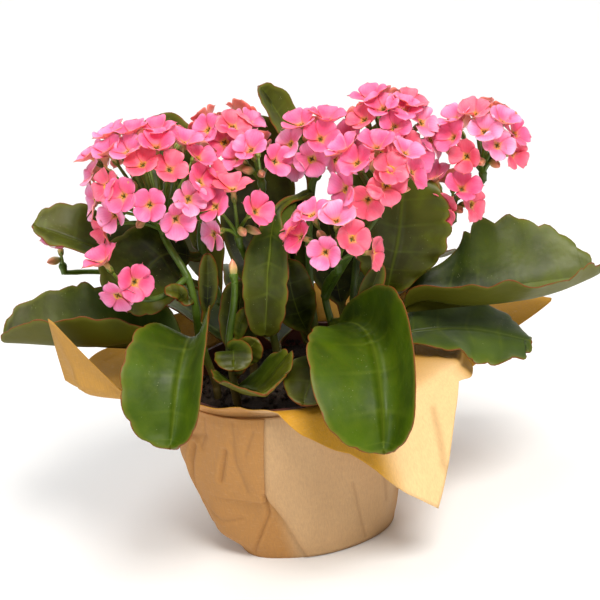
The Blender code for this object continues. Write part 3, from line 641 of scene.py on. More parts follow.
def leaf_material():
    """Waxy leaf skin: mottled green above with pale specks, olive below, a red-brown margin."""
    m = Nodes("kalanchoe_leaf")
    hue = m.tone()
    broad = m.span(m.noise(38, 2.0), 0.35, 0.68)
    above = m.blend(broad, m.tint(hue, 0.58, 0.62, 0.4), m.tint(hue, 1.1, 1.12, 0.5))
    cloud = m.span(m.noise(150, 4.0), 0.45, 0.75, 0, 0.35)
    above = m.blend(cloud, above, paint("566606"))
    vein = m.sum("SINE", m.sum("MULTIPLY", m.value("vein"), 2 * math.pi), 0)
    vein_line = m.span(vein, 0.9, 1.0)
    vein_line = m.sum("MULTIPLY", vein_line, m.span(m.value("across"), 0.95, 0.1))
    above = m.blend(m.sum("MULTIPLY", vein_line, 0.16), above, paint("6C7C22"))
    rib = m.span(m.value("across"), 0.05, 0.0)
    above = m.blend(m.sum("MULTIPLY", rib, 0.35), above, paint("74842A"))
    specks = m.span(m.cells(620), 0.1, 0.04)
    specks = m.sum("MULTIPLY", specks, m.span(m.noise(90, 2.0), 0.5, 0.62))
    above = m.blend(m.sum("MULTIPLY", specks, 0.75), above, paint("D2D6A0"))
    below = m.blend(0.6, m.tint(hue, 1.1, 1.05, 0.5), paint("5A5604"))
    below = m.blend(m.span(m.noise(70, 3.0), 0.4, 0.7, 0, 0.4), below, paint("44480A"))
    skin = m.blend(m.value("under"), above, below)
    ragged = m.sum("ADD", m.value("edge"), m.span(m.noise(240, 2.0), 0.3, 0.7, -0.35, 0.35))
    olive_rim = m.span(ragged, 3.2, 0.5, 0, 0.5)
    skin = m.blend(olive_rim, skin, paint("6E7020"))
    red_rim = m.span(ragged, 0.5, 0.1, 0, 0.85)
    skin = m.blend(red_rim, skin, paint("7A3C16"))
    gloss = m.span(m.noise(55, 3.0), 0.3, 0.7, 0.36, 0.52)
    m.set(Base_Color=skin, Roughness=m.blend_value(m.value("under"), gloss, 0.55))
    m.shader.inputs["Specular IOR Level"].default_value = 0.22
    relief = m.sum("ADD", m.sum("MULTIPLY", m.noise(420, 3.0), 0.35), m.sum("MULTIPLY", vein, 0.3))
    relief = m.sum("ADD", relief, m.sum("MULTIPLY", m.noise(95, 2.0), 2.6))
    m.bump(relief, 0.34, 0.0005)
    return m.material


def petal_material():
    """Soft petals: their own pinks with fine lengthwise streaks and a velvet look."""
    m = Nodes("kalanchoe_petal")
    hue = m.tone()
    pale = m.blend(m.span(m.noise(260, 3.0), 0.35, 0.7, 0, 0.14), hue, paint("FFB0CE"))
    deep = m.blend(m.span(m.noise(120, 2.0), 0.5, 0.75, 0, 0.3), pale, paint("E8386F"))
    streak = m.sum("SINE", m.sum("MULTIPLY", m.value("across"), 46.0), 0)
    skin = m.blend(m.span(streak, 0.3, 1.0, 0, 0.12), deep, paint("D93A74"))
    m.set(Base_Color=skin, Roughness=m.span(m.noise(500, 2.0), 0.3, 0.7, 0.42, 0.6))
    m.shader.inputs["Sheen Weight"].default_value = 0.15
    m.shader.inputs["Subsurface Weight"].default_value = 0.2
    m.shader.inputs["Subsurface Scale"].default_value = 0.002
    m.shader.inputs["Subsurface Radius"].default_value = (1.0, 0.35, 0.4)
    m.bump(m.sum("ADD", m.sum("MULTIPLY", streak, 0.4), m.noise(900, 2.0)), 0.12, 0.0003)
    return m.material


def green_material():
    """Stalks, flower tubes and buds: their own tones, mottled and slightly waxy."""
    m = Nodes("kalanchoe_stem")
    hue = m.tone()
    skin = m.blend(m.span(m.noise(140, 3.0), 0.35, 0.7), m.tint(hue, 0.7, 0.74, 0.66),
                   m.tint(hue, 1.25, 1.2, 1.1))
    specks = m.span(m.cells(900), 0.16, 0.06, 0, 0.35)
    skin = m.blend(specks, skin, paint("A9B36A"))
    m.set(Base_Color=skin, Roughness=m.span(m.noise(300, 2.0), 0.3, 0.7, 0.32, 0.5))
    m.bump(m.noise(700, 3.0), 0.15, 0.0003)
    return m.material


def soil_material():
    """Compost: dark crumbs with a few paler ones."""
    m = Nodes("peat_compost")
    grain = m.noise(900, 6.0, 0.7)
    skin = m.blend(m.span(grain, 0.35, 0.7), paint("150E08"), paint("4A3522"))
    skin = m.blend(m.span(m.cells(260), 0.3, 0.02, 0, 0.35), skin, paint("6B4E33"))
    m.set(Base_Color=skin, Roughness=m.span(grain, 0.3, 0.7, 0.8, 0.98))
    m.bump(m.sum("ADD", grain, m.noise(2500, 3.0)), 0.8, 0.0012)
    return m.material


def pot_material():
    """The nursery pot's plain brown plastic."""
    m = Nodes("nursery_pot_plastic")
    fine = m.noise(1400, 3.0)
    skin = m.blend(m.span(m.noise(30, 3.0), 0.3, 0.7), paint("5A2A1C"), paint("6E3524"))
    m.set(Base_Color=skin, Roughness=m.span(fine, 0.3, 0.7, 0.42, 0.6))
    m.bump(fine, 0.12, 0.0002)
    return m.material


def paper_material():
    """Kraft paper: brown outside with fibres and flecks; the tone that it reads is golden inside, which is
    painted shade with light through the paper.
    """
    m = Nodes("kraft_paper")
    at = m.place()
    stretched = m.node("ShaderNodeMapping", {"Vector": at, "Scale": (1.0, 1.0, 0.12)}).outputs["Vector"]
    crossed = m.node("ShaderNodeMapping", {"Vector": at, "Scale": (0.2, 0.2, 1.0)}).outputs["Vector"]
    fibres = m.noise(1500, 4.0, 0.65, stretched)
    cross_fibres = m.noise(1300, 4.0, 0.65, crossed)
    # The tone attribute carries the painted light and shade set in paper_tone.
    hue = m.tone()
    skin = m.blend(m.span(fibres, 0.3, 0.72), m.tint(hue, 0.88, 0.86, 0.84),
                   m.tint(hue, 1.1, 1.09, 1.07))
    skin = m.blend(m.span(cross_fibres, 0.55, 0.78, 0, 0.22), skin, paint("E2C193"))
    cloud = m.span(m.noise(34, 3.0), 0.35, 0.7)
    skin = m.blend(m.sum("MULTIPLY", cloud, 0.25), skin, m.tint(hue, 0.8, 0.74, 0.68))
    flecks = m.sum("MULTIPLY", m.span(m.cells(800), 0.14, 0.05), m.span(m.noise(200, 2.0), 0.55, 0.65))
    skin = m.blend(m.sum("MULTIPLY", flecks, 0.4), skin, paint("7A5630"))
    # Painted shade: darker brown along the creases, where the paper folds in.
    painted_crease_shade = m.value("crease")
    skin = m.blend(m.sum("MULTIPLY", painted_crease_shade, 0.35), skin, paint("8A6034"))
    m.set(Base_Color=skin, Roughness=m.span(fibres, 0.3, 0.7, 0.62, 0.82))
    relief = m.sum("ADD", m.sum("MULTIPLY", fibres, 0.7), m.sum("MULTIPLY", m.noise(160, 4.0), 1.0))
    m.bump(relief, 0.35, 0.0006)
    return m.material


# ---------------------------------------------------------------- shoots


def head_frame():
    """The right, up and outward directions of a flower head's front."""
    out = Vector((0, -math.cos(VIEW_RISE), math.sin(VIEW_RISE)))
    right = Vector((1, 0, 0))
    up = Vector((0, math.sin(VIEW_RISE), math.cos(VIEW_RISE)))
    turned_right = right * math.cos(VIEW_LEAN) - up * math.sin(VIEW_LEAN)
    turned_up = up * math.cos(VIEW_LEAN) + right * math.sin(VIEW_LEAN)
    return turned_right, turned_up, out


def head_fork(design):
    """Where a flower head's stalk splits into its stalklets."""
    return place(design["middle"]) - Vector((0, 0, 0.8 * design["dome"] * SPREAD))


def sites(design):
    """Each flower's and bud's place, the way it faces and whether it is a bud."""
    right, up, out = head_frame()
    centre = place(design["middle"])
    dome = design["dome"] * SPREAD
    found = []
    for kind, sign in (("front", 1), ("buds", 1), ("back", -1)):
        for r, u in design[kind]:
            flat = (r * r + u * u) * SPREAD * SPREAD
            depth = math.sqrt(max(dome * dome - flat, (0.3 * dome) ** 2))
            offset = right * r * SPREAD + up * u * SPREAD + out * depth * sign
            if sign < 0:
                offset.z = abs(offset.z) * 0.6 + 0.2 * dome
            facing = (offset + Vector((0, 0, 0.35 * dome + max(0, u) * SPREAD))).normalized()
            found.append((centre + offset, facing, kind == "buds"))
    return found


def route_points(route):
    """A route's points in metres; a head's name stands for the place just below its fork."""
    below = Vector((0, 0, HUB + 2 * GAP + 0.4 * SHOOT_R))
    return [head_fork(HEADS[p]) - below if isinstance(p, str) else place(p) for p in route]


def main_stem(routes):
    """The first route's points, straight up through the compost."""
    points = route_points(routes[0])
    foot = Vector((points[0].x, points[0].y, RIM_Z - SOIL_DROP))
    rises = (-SOCKET, -SOCKET / 2, 2 * MM, 8 * MM)
    return [foot + Vector((0, 0, rise)) for rise in rises] + points[1:]


def on_shoot(name, height):
    """A shoot's place and direction at a height of the plant's layout."""
    line = smooth_line(main_stem(SHOOTS[name]), 120)
    nearest = np.argmin(np.abs(line[:, 2] - place((0, 0, height)).z))
    return Vector(line[nearest]), Vector(directions(line)[nearest])


def shoot(name, routes, finish):
    """A shoot and its branches, with swollen joints and a woody, browner foot."""
    shape = Shape()
    lines = [(main_stem(routes), SHOOT_R, 0.8)]
    lines += [(route_points(route), SHOOT_R * 0.78, 0.77) for route in routes[1:]]
    rng = np.random.default_rng(len(name) * 7 + 1)
    for number, (points, radius, taper) in enumerate(lines):
        rows = 16 * len(points)
        line = smooth_line(points, rows)
        share = np.linspace(0, 1, rows)
        radii = radius * (1 + (taper - 1) * share)
        for knot in rng.uniform(0.25, 0.95, 3):
            radii *= 1 + 0.12 * np.exp(-((share - knot) / 0.02) ** 2)
        if number:
            radii *= 1 + 0.5 * np.exp(-share / 0.04)
        bar, faces, at = round_bar(line, radii, 14)
        rise = (bar[:, 2] - RIM_Z) / MM
        tone = mix(paint("6B5A2E"), paint("40580E"), step(-6, 26, rise))
        tone = mix(tone, paint("547018"), step(30, 95, rise))
        shape.add(bar, faces, tone=tone)
    shape.made(name, [finish], [name], "stem_green")


# ---------------------------------------------------------------- leaves


def half_width(share, broad):
    """A leaf's half width at a share of its length, from a narrow stalk to a round tip."""
    widest = 0.62
    share = np.asarray(share, float)
    grow = np.clip((share - broad * 0.5) / (widest - broad * 0.5), 0, 1)
    rising = np.sin(math.pi / 2 * grow) ** (0.55 + broad)
    falling = np.clip(1 - np.clip((share - widest) / (1 - widest), 0, 1) ** 2.4, 0, 1) ** (1 / 2.2)
    return np.where(share < widest, rising, falling)


class Blade:
    """The curved, folded surface that a leaf lies in: a point for each share of the length and
    each distance out from the midrib."""

    def __init__(self, design, waves, seed):
        foot, shoot_along = on_shoot(design["shoot"], design["height"])
        rest = [place(p) for p in design["midrib"]]
        heading = rest[0] - foot
        heading = (heading - shoot_along * heading.dot(shoot_along)).normalized()
        start = foot + heading * (SHOOT_R * 0.7)
        self.design = design
        self.count = 60
        cad_start = foot + heading * (SHOOT_R + PETIOLE_R + GAP)
        self.line = smooth_line([start, cad_start] + rest, self.count)
        self.along = directions(self.line)
        self.length = np.linalg.norm(np.diff(self.line, axis=0), axis=1).sum()
        base, tip = (np.array(v, float) for v in design["up"])
        share = np.linspace(0, 1, self.count)[:, None]
        up = base + (tip - base) * share
        up -= self.along * (up * self.along).sum(axis=1, keepdims=True)
        self.up = up / np.linalg.norm(up, axis=1, keepdims=True)
        self.side = np.cross(self.along, self.up)
        self.waves = waves
        self.phase = np.random.default_rng(seed).uniform(0, 6.28, 6)

    def reach(self, share, hand):
        full = self.design["half"][0 if hand < 0 else 1] * SPREAD
        return np.maximum(PETIOLE_R, full * half_width(np.minimum(share, 0.985), self.design["broad"]))

    def points(self, share, out, hand):
        at = np.clip(share, 0, 1) * (self.count - 1)
        know = np.arange(self.count)

        def read(table):
            return np.stack([np.interp(at, know, table[:, k]) for k in range(3)], axis=-1)

        line, along, up, side = read(self.line), read(self.along), read(self.up), read(self.side)
        line = line + along * (np.maximum(share - 1, 0) * self.length)[..., None]
        folds = [ends[0 if hand < 0 else 1] for ends in self.design["fold"]]
        fold = np.radians(np.interp(share, (0, 1), folds))
        full = self.reach(share, hand)
        t = out / full
        slices = (np.arange(24) + 0.5) / 24 * t[..., None]
        angle = fold[..., None] * np.sin(math.pi / 2 * np.minimum(1, slices / 0.5))
        x = out * np.cos(angle).mean(axis=-1)
        z = out * np.sin(angle).mean(axis=-1)
        p = self.phase
        ripple = np.sin(share * 9 + p[0] + hand) + 0.6 * np.sin(share * 17 + p[1] + 2 * hand)
        ripple = ripple + 0.5 * np.sin(share * 34 + p[4] + 3 * hand)
        z = z + self.waves * ripple * np.clip(t, 0, 1.1) ** 2.5
        z = z + self.waves * 0.5 * np.sin(share * 6 + p[2]) * np.sin(t * 2 + p[3])
        z = z + 0.5 * MM * np.exp(-((out / MM) / 1.6) ** 2) * -1
        return line + side * (hand * x)[..., None] + up * z[..., None]


def leaf(name, design, finish, tone, lobes=0, nick=0.9, waves=0.8, tip_tone=None):
    """A fleshy leaf with a scalloped margin, thin at its rounded edge."""
    seed = sum(ord(c) for c in name)
    rng = np.random.default_rng(seed)
    large = max(design["half"])
    blade = Blade(design, waves * MM * min(1, large / 24), seed)
    lobes = lobes or (8 if large > 20 else 6 if large > 11 else 4)
    ribs = 56 if large > 14 else 34
    rims = 3 if large > 7 else 2
    inner = 10 if large > 14 else 6
    shape = Shape()
    for hand in (-1, 1):
        fine = np.linspace(0, 1, 600)
        outline_s = np.sin(math.pi / 2 * fine) ** 0.9
        outline_w = blade.reach(np.minimum(outline_s, 0.985), hand) * np.where(
            outline_s > 0.985, np.sqrt(np.clip((1 - outline_s) / 0.015, 0, 1)), 1)
        flat = np.stack([outline_s * blade.length, outline_w], axis=1)
        run = np.concatenate([[0], np.cumsum(np.linalg.norm(np.diff(flat, axis=0), axis=1))])
        want = np.linspace(0, run[-1], ribs)
        flat = np.stack([np.interp(want, run, flat[:, k]) for k in range(2)], axis=1)
        tangent = np.gradient(flat, axis=0)
        tangent /= np.linalg.norm(tangent, axis=1)[:, None]
        outward = np.stack([-tangent[:, 1], tangent[:, 0]], axis=1)
        share = np.linspace(0, 1, ribs)
        lobe_at = share ** 1.15 * lobes + 0.25 * np.sin(share * 11 + seed) + rng.uniform(0, 0.3)
        scallop = np.abs(np.sin(math.pi * lobe_at)) ** 0.55 - 0.62
        fade = step(0.22, 0.42, share) * (1 - 0.5 * step(0.93, 1.0, share))
        depth = nick * MM * min(1.2, large / 20) * (1 + 0.3 * np.sin(share * 23 + seed))
        flat = flat + outward * (scallop * fade * depth)[:, None]
        flat[:, 1] = np.maximum(flat[:, 1], 0)
        flat[-1, 1] = 0
        root = np.minimum(flat[:, 0] / blade.length, 0.97) * (0.92 + 0.08 * share)
        root = np.maximum.accumulate(np.clip(root - 0.12 * step(0.1, 0.8, share) * (1 - share), 0, 0.985))
        root[0] = 0
        reach = np.maximum(np.hypot(flat[:, 1], (flat[:, 0] / blade.length - root) * blade.length), 1e-5)
        inside = np.linspace(0, 1, inner) ** 0.9
        outs = []
        for i in range(ribs):
            rim = [1 - min(0.5, gap * MM / reach[i]) for gap in (1.8, 0.9, 0.35)[-rims:]]
            outs.append(list(inside * rim[0]) + rim[1:] + [1.0])
        v = np.array(outs)
        s = root[:, None] + (flat[:, 0] / blade.length - root)[:, None] * v
        w = flat[:, 1][:, None] * v
        grid = blade.points(s, w, hand)
        columns = v.shape[1]
        edge = (1 - v) * reach[:, None] / MM
        edge = np.where(share[:, None] < 0.12, edge + 1.5 * (0.12 - share[:, None]) / 0.12, edge)
        spread = np.clip(w / blade.reach(s, hand), 0, 1)
        n = normals_of(grid)
        facing = np.stack([np.interp(s * (blade.count - 1), np.arange(blade.count), blade.up[:, k])
                           for k in range(3)], axis=-1)
        flip = np.sign((n * facing).sum(axis=-1).mean()) or 1
        n = n * flip
        weld = step(0.0, 0.2, v)[..., None]
        n = facing / np.linalg.norm(facing, axis=-1)[..., None] * (1 - weld) + n * weld
        n = n / np.linalg.norm(n, axis=-1)[..., None]
        thick = LEAF_T * (1 - 0.55 * spread ** 2)
        thick = np.maximum(thick, PETIOLE_R * 1.5 * (1 - s / 0.14))
        thick = thick * np.clip(edge / 0.9, 0.25, 1) ** 0.5
        thick = thick + 1.0 * MM * np.exp(-((w / MM) / 1.4) ** 2) * (1 - s)
        over = grid + n * (thick / 2)[..., None]
        under = grid - n * (thick / 2)[..., None]
        rim_row = grid[:, -1] + (grid[:, -1] - grid[:, -2]) * 0.3
        size = ribs * columns
        faces = grid_faces(ribs, columns)
        faces += [tuple(reversed([size + i for i in face])) for face in grid_faces(ribs, columns)]
        for i in range(ribs - 1):
            a, b = i * columns + columns - 1, (i + 1) * columns + columns - 1
            faces.append((a, 2 * size + i, 2 * size + i + 1, b))
            faces.append((2 * size + i, size + a, size + b, 2 * size + i + 1))
        points = np.concatenate([over.reshape(-1, 3), under.reshape(-1, 3), rim_row])
        shade = mix(tone, tip_tone if tip_tone is not None else tone, step(0.3, 0.95, s)).reshape(-1, 3)
        # Painted shade: the tone is darkened by up to 45% towards the base and along the midrib, where the
        # cupped leaf lies in shade.
        deep = (step(0.85, 0.25, s) * step(0.95, 0.2, spread)).reshape(-1, 1)
        shade = shade * (1 - 0.45 * deep)
        all_tone = np.concatenate([shade, shade, shade.reshape(ribs, columns, 3)[:, -1]])
        vein = np.repeat(np.linspace(0, 7, ribs)[:, None], columns, axis=1)
        one, zero = np.ones(size), np.zeros(size)
        shape.add(points, faces, tone=all_tone, under=np.concatenate([zero, one, zero[:ribs] + 0.5]),
                  edge=np.concatenate([edge.ravel(), edge.ravel(), zero[:ribs]]),
                  across=np.concatenate([spread.ravel(), spread.ravel(), one[:ribs]]),
                  vein=np.concatenate([vein.ravel(), vein.ravel(), vein[:, -1]]))
    piece = shape.made(name, [finish], [name], "leaf_green")
    bm = bmesh.new()
    bm.from_mesh(piece.data)
    bmesh.ops.remove_doubles(bm, verts=bm.verts, dist=0.02 * MM)
    loose = [e for e in bm.edges if e.is_boundary]
    bmesh.ops.holes_fill(bm, edges=loose, sides=0)
    bmesh.ops.recalc_face_normals(bm, faces=bm.faces)
    bm.to_mesh(piece.data)
    bm.free()
    piece.data.polygons.foreach_set("use_smooth", [True] * len(piece.data.polygons))
    return piece


# ---------------------------------------------------------------- flowers


def petal_sheet(length, width, lift, cup, curl, twist, rows=9, columns=7):
    """A petal as a grid: out along X, across along Y, up along Z. Also its shares of the length
    and across."""
    u = np.linspace(0, 1, rows)[:, None] ** 0.85 * np.ones((1, columns))
    v = np.ones((rows, 1)) * np.linspace(-1, 1, columns)[None, :]
    past = np.clip((u - 0.55) / 0.45, 0, 1)
    widening = 0.22 + 0.78 * np.sin(math.pi / 2 * u / 0.55)
    outline = np.where(u < 0.55, widening, (1 - past ** 1.9) ** 0.7 + 0.02)
    y = v * outline * width
    x = 0.9 * MM + u * length * math.cos(lift * 0.6)
    z = length * (math.sin(lift) * u - curl * u**3) + cup * (v * outline) ** 2 * width
    z = z + twist * v * outline * width + 0.04 * length * np.sin(7 * u) * v
    x = x + length * step(0.75, 1, u) * (0.07 * np.exp(-(v / 0.22) ** 2) - 0.05 * v**2)
    return np.stack([x, y, z], axis=-1), u, v


THROAT_TONES = ("F7B04A", "F0B020", "D09A18", "8A7A14", "4A4A10")  # from the rim inwards


def flower(shape, spot, facing, rng, hues, reach, openness):
    """Four petals round a yellow throat with its anthers, on a tube with green sepals."""
    facing = np.array(facing)
    side, other = cross_directions(facing)
    axes = np.stack([side, other, facing])
    spot = np.array(spot)
    base, edge, back = hues
    spin = rng.uniform(0, math.pi / 2)
    for k in range(4):
        turn = spin + k * math.pi / 2 + rng.uniform(-0.07, 0.07)
        length = (reach - 0.9 * MM) * rng.uniform(0.93, 1.03)
        width = 0.5 * reach * rng.uniform(0.92, 1.08)
        lift = openness + rng.uniform(-0.14, 0.14)
        sheet, u, v = petal_sheet(length, width, lift, rng.uniform(0.2, 0.5), rng.uniform(0.0, 0.16),
                                  rng.uniform(-0.12, 0.22))
        sheet[..., 2] += 0.25 * MM * (k % 2)
        c, s = math.cos(turn), math.sin(turn)
        local = np.stack([sheet[..., 0] * c - sheet[..., 1] * s, sheet[..., 0] * s + sheet[..., 1] * c,
                          sheet[..., 2]], axis=-1)
        n = normals_of(local)
        n = n * np.sign(n[..., 2].mean())
        points, faces = shell(local, n, 0.3 * MM * (1 - 0.5 * u))
        paler = 0.6 * np.abs(v) ** 2 * step(0.2, 0.9, u) + 0.7 * step(0.35, 0.95, u)
        front = mix(base, edge, np.minimum(1, paler))
        front = mix(front, paint("F2506E"), 0.5 * step(0.55, 0.2, u))
        front = mix(front, paint("FBC090"), 0.6 * step(0.2, 0.08, u))
        front = mix(front, paint("F5B82E"), 0.95 * step(0.18, 0.05, u))
        rear = mix(paint("F4B795"), back, step(0.05, 0.8, u + 0.25 * np.abs(v)))
        tone = np.concatenate([front.reshape(-1, 3), rear.reshape(-1, 3)])
        across = np.concatenate([v.ravel(), v.ravel()]) * 0.5
        shape.add(spot + points @ axes, faces, 0, tone=tone, across=across)
    ring = np.array([(2.2, 0.6), (1.8, 0.5), (1.35, 0.1), (1.1, -0.5), (0.3, -0.7)]) * MM
    turns = np.linspace(0, 2 * math.pi, 10, endpoint=False)
    cup = np.array([[(r * math.cos(t), r * math.sin(t), z) for t in turns] for r, z in ring]).reshape(-1, 3)
    faces = grid_faces(len(ring), 10, closed=True)
    tone = np.repeat([paint(code) for code in THROAT_TONES], 10, axis=0)
    shape.add(spot + cup @ axes, faces, 1, tone=tone)
    for k in range(8):
        t = 2 * math.pi * (k + 0.5) / 8
        r, z = (1.15, 0.55) if k % 2 else (0.7, 0.1)
        at = np.array([r * math.cos(t), r * math.sin(t), z]) * MM
        ball, faces = speck(1.3)
        colour = paint("5A3A12") if k % 2 else paint("D9A320")
        shape.add(spot + (at + ball * 0.3 * MM) @ axes, faces, 1, tone=colour)
    rise = np.array([0.6, -0.2, -1.2, -2.6, -4.2, -5.6, -6.5]) * MM
    radii = np.array([2.2, 1.7, 1.25, 1.35, 1.5, 1.35, 0.8]) * MM
    tube, faces, _ = round_bar(spot + np.outer(rise, facing), radii, 10)
    share = np.concatenate([np.repeat(np.linspace(0, 1, 7), 10), [0, 1]])
    tone = mix(paint("F0A078"), paint("D8B878"), step(0, 0.45, share))
    tone = mix(tone, paint("72842E"), step(0.45, 0.9, share))
    shape.add(tube, faces[:6 * 10] + faces[6 * 10 + 1::2], 1, tone=tone)
    sepals(shape, spot - facing * 6.2 * MM, facing, side, other, 1.3 * MM, 3.6 * MM)


def sepals(shape, foot, facing, side, other, out, length):
    """Four narrow green sepals that stand round the foot of a tube or bud."""
    for k in range(4):
        t = k * math.pi / 2 + 0.4
        ray = side * math.cos(t) + other * math.sin(t)
        cross = np.cross(facing, ray)
        rows = []
        for q, wide in ((0, 0.55), (0.35, 0.8), (0.7, 0.5), (1, 0.06)):
            middle = foot + ray * (0.7 * MM + out * (q * 1.1 - 0.55 * q * q)) + facing * length * q
            rows.append([middle + cross * wide * MM * j for j in (-1, 0, 1)])
        grid = np.array(rows)
        points, faces = shell(grid, normals_of(grid), 0.4 * MM)
        shape.add(points, faces, 1, tone=paint("6F8E34"))


def bud(shape, spot, facing, peach):
    """A closed bud, four-sided and slightly spiralled, green at the foot and coloured at its tip."""
    facing = np.array(facing)
    side, other = cross_directions(facing)
    foot = np.array(spot) - facing * THROAT
    rows, sides = 12, 16
    points, tones = [], []
    for i in range(rows):
        q = i / (rows - 1)
        belly = math.sin(math.pi * min(1, 0.12 + q * 0.82)) ** 0.8
        radius = BUD_R * (0.35 + 0.65 * belly) * (1 - 0.86 * q**5)
        for j in range(sides):
            t = 2 * math.pi * j / sides
            crimp = 1 + 0.07 * math.cos(4 * (t - 1.1 * q))
            ray = side * math.cos(t) + other * math.sin(t)
            points.append(foot + facing * BUD_L * q + ray * radius * crimp)
            # Painted shade and light: the bud's tone is darker in its grooves and lighter on its ridges.
            line = 0.5 + 0.5 * math.cos(4 * (t - 1.1 * q))
            tone = mix(mix(paint("7E9A3C"), paint("D9B47C"), q * 1.8), peach, step(0.45, 1, q))
            tones.append(tone * (0.8 + 0.25 * line))
    faces = grid_faces(rows, sides, closed=True)
    faces.append(tuple(range(sides)))
    faces.append(tuple((rows - 1) * sides + j for j in reversed(range(sides))))
    shape.add(points, faces, 1, tone=np.array(tones))
    sepals(shape, foot + facing * 0.3 * MM, facing, side, other, 1.9 * MM, 3.4 * MM)


# The petals' colours: a petal's middle, its margin and its back, chosen at random for a flower.
PINKS = [
    ("FF6AA8", "FF9CCA", "F58E70"),
    ("FF5696", "FF88BA", "F07E68"),
    ("FD4482", "FF78A8", "EE6E60"),
    ("FA466A", "FF788E", "F07E60"),
    ("FF80B8", "FFB2D6", "F59E84"),
]


def flower_head(name, design, finishes):
    """All of a head's flowers and buds on their stalklets."""
    rng = np.random.default_rng(sum(ord(c) for c in name))
    shape = Shape()
    fork = np.array(head_fork(design))
    found = sites(design)
    for number, (spot, facing, closed) in enumerate(found):
        spot, facing = np.array(spot), np.array(facing)
        if closed:
            bud(shape, spot, facing, paint("F0A088" if number % 2 else "E89A84"))
        else:
            hues = [paint(code) for code in PINKS[rng.integers(len(PINKS))]]
            topside = facing[2] > 0.8
            reach = FLOWER_R * rng.uniform(0.9, 1.04)
            flower(shape, spot, facing, rng, hues, reach, rng.uniform(0.25, 0.6) + 0.25 * topside)
        back = spot - facing * 6.2 * MM
        bend = back - facing * 0.25 * np.linalg.norm(back - fork)
        line = smooth_line([fork, fork + (bend - fork) * 0.6, back], 14)
        radii = np.linspace(1.15, 0.75, 14) * MM
        bar, faces, share = round_bar(line, radii, 8)
        shape.add(bar, faces, 1, tone=mix(paint("4E6A16"), paint("6E8630"), share))
    line = smooth_line([fork - np.array((0, 0, HUB + 2.2 * MM)), fork, fork + np.array((0, 0, HUB))], 8)
    bar, faces, share = round_bar(line, np.array([1, 1, 1.05, 1.15, 1.3, 1.3, 1.1, 0.6]) * SHOOT_R * 0.8, 14)
    shape.add(bar, faces, 1, tone=paint("4E6A16"))
    shape.made(name, finishes, [name], "petal_pink")


# ---------------------------------------------------------------- compost


def compost(finish):
    """The compost's body with a crumbly top, and loose crumbs on it."""
    rng = np.random.default_rng(5)
    top = RIM_Z - SOIL_DROP
    outer = RIM_R - POT_WALL - 1.6 * MM
    rows, sides = 44, 180
    shape = Shape()
    radii = np.linspace(0.02, 1, rows) ** 0.8 * outer
    points = []
    lumps = rng.uniform(-1, 1, (60, 2)) * outer
    high = rng.uniform(-0.8, 1.1, 60) * MM
    for r in radii:
        for j in range(sides):
            t = 2 * math.pi * j / sides
            x, y = r * math.cos(t), r * math.sin(t)
            near = np.exp(-((lumps[:, 0] - x) ** 2 + (lumps[:, 1] - y) ** 2) / (4.5 * MM) ** 2)
            z = top - 1.0 * MM + float((near * high).sum()) + rng.uniform(-0.25, 0.25) * MM
            points.append((x, y, z - 2.5 * MM * (r / outer) ** 10))
    foot = RIM_Z - POT_H + POT_WALL + 2 * MM
    for r, z in ((FOOT_R - 3 * MM, foot), (0.02 * FOOT_R, foot)):
        for j in range(sides):
            t = 2 * math.pi * j / sides
            points.append((r * math.cos(t), r * math.sin(t), z))
    faces = grid_faces(rows + 2, sides, closed=True)
    faces.append(tuple(range(sides)))
    faces.append(tuple((rows + 1) * sides + j for j in range(sides)))
    shape.add(points, faces)
    for _ in range(420):
        r, t = outer * 0.96 * math.sqrt(rng.random()), rng.uniform(0, 6.283)
        size = rng.uniform(0.5, 1.7) * MM
        ball, faces = speck()
        ball = ball * size * rng.uniform(0.6, 1.3, (6, 3))
        at = np.array((r * math.cos(t), r * math.sin(t), top - 0.2 * MM + rng.uniform(0, 0.6) * MM))
        shape.add(at + ball, faces)
    shape.made("compost", [finish], ["soil"], "compost")


# ---------------------------------------------------------------- paper

# Creases in the paper round the pot: how deep, how wide, and the line they follow, as headings in
# degrees and heights in millimetres above the table.
CREASES = [
    (2.0, 1.1, [(209, 66), (204, 54), (196, 38), (191, 17)]),
    (1.2, 1.0, [(232, 68), (228, 59), (223, 49)]),
    (1.1, 0.8, [(247, 42), (246, 30), (234, 13), (225, 1)]),
    (0.3, 1.4, [(297, 40), (301, 22), (306, 4)]),
    (0.35, 1.8, [(240, 84), (236, 62), (238, 44)]),
    (0.4, 1.2, [(222, 84), (219, 74), (214, 66)]),
    (0.3, 1.5, [(250, 80), (243, 66)]),
    (0.3, 2.2, [(322, 76), (318, 50), (322, 20)]),
    (0.9, 1.8, [(350, 80), (346, 54), (352, 24), (350, 6)]),
    (1.0, 2.0, [(20, 80), (26, 50), (18, 14)]),
    (0.8, 1.8, [(52, 80), (48, 46), (58, 10)]),
    (1.1, 1.6, [(86, 80), (92, 56), (84, 26), (88, 6)]),
    (0.8, 1.8, [(118, 80), (112, 44), (120, 12)]),
    (1.1, 1.8, [(146, 80), (152, 54), (144, 22)]),
    (0.9, 1.6, [(172, 80), (178, 58), (170, 30), (176, 8)]),
    (0.4, 1.4, [(190, 76), (206, 70), (220, 74)]),
    (0.5, 1.2, [(200, 30), (214, 22), (228, 26)]),
]


def collar_at(headings):
    """The paper's reach and rise beyond the rim at headings in degrees, in metres."""
    table = np.array(COLLAR, float)
    table = np.vstack([table, table[0] + [360, 0, 0, 0, 0]])
    return [np.interp(headings % 360, table[:, 0], table[:, k]) * SPREAD for k in range(1, 5)]


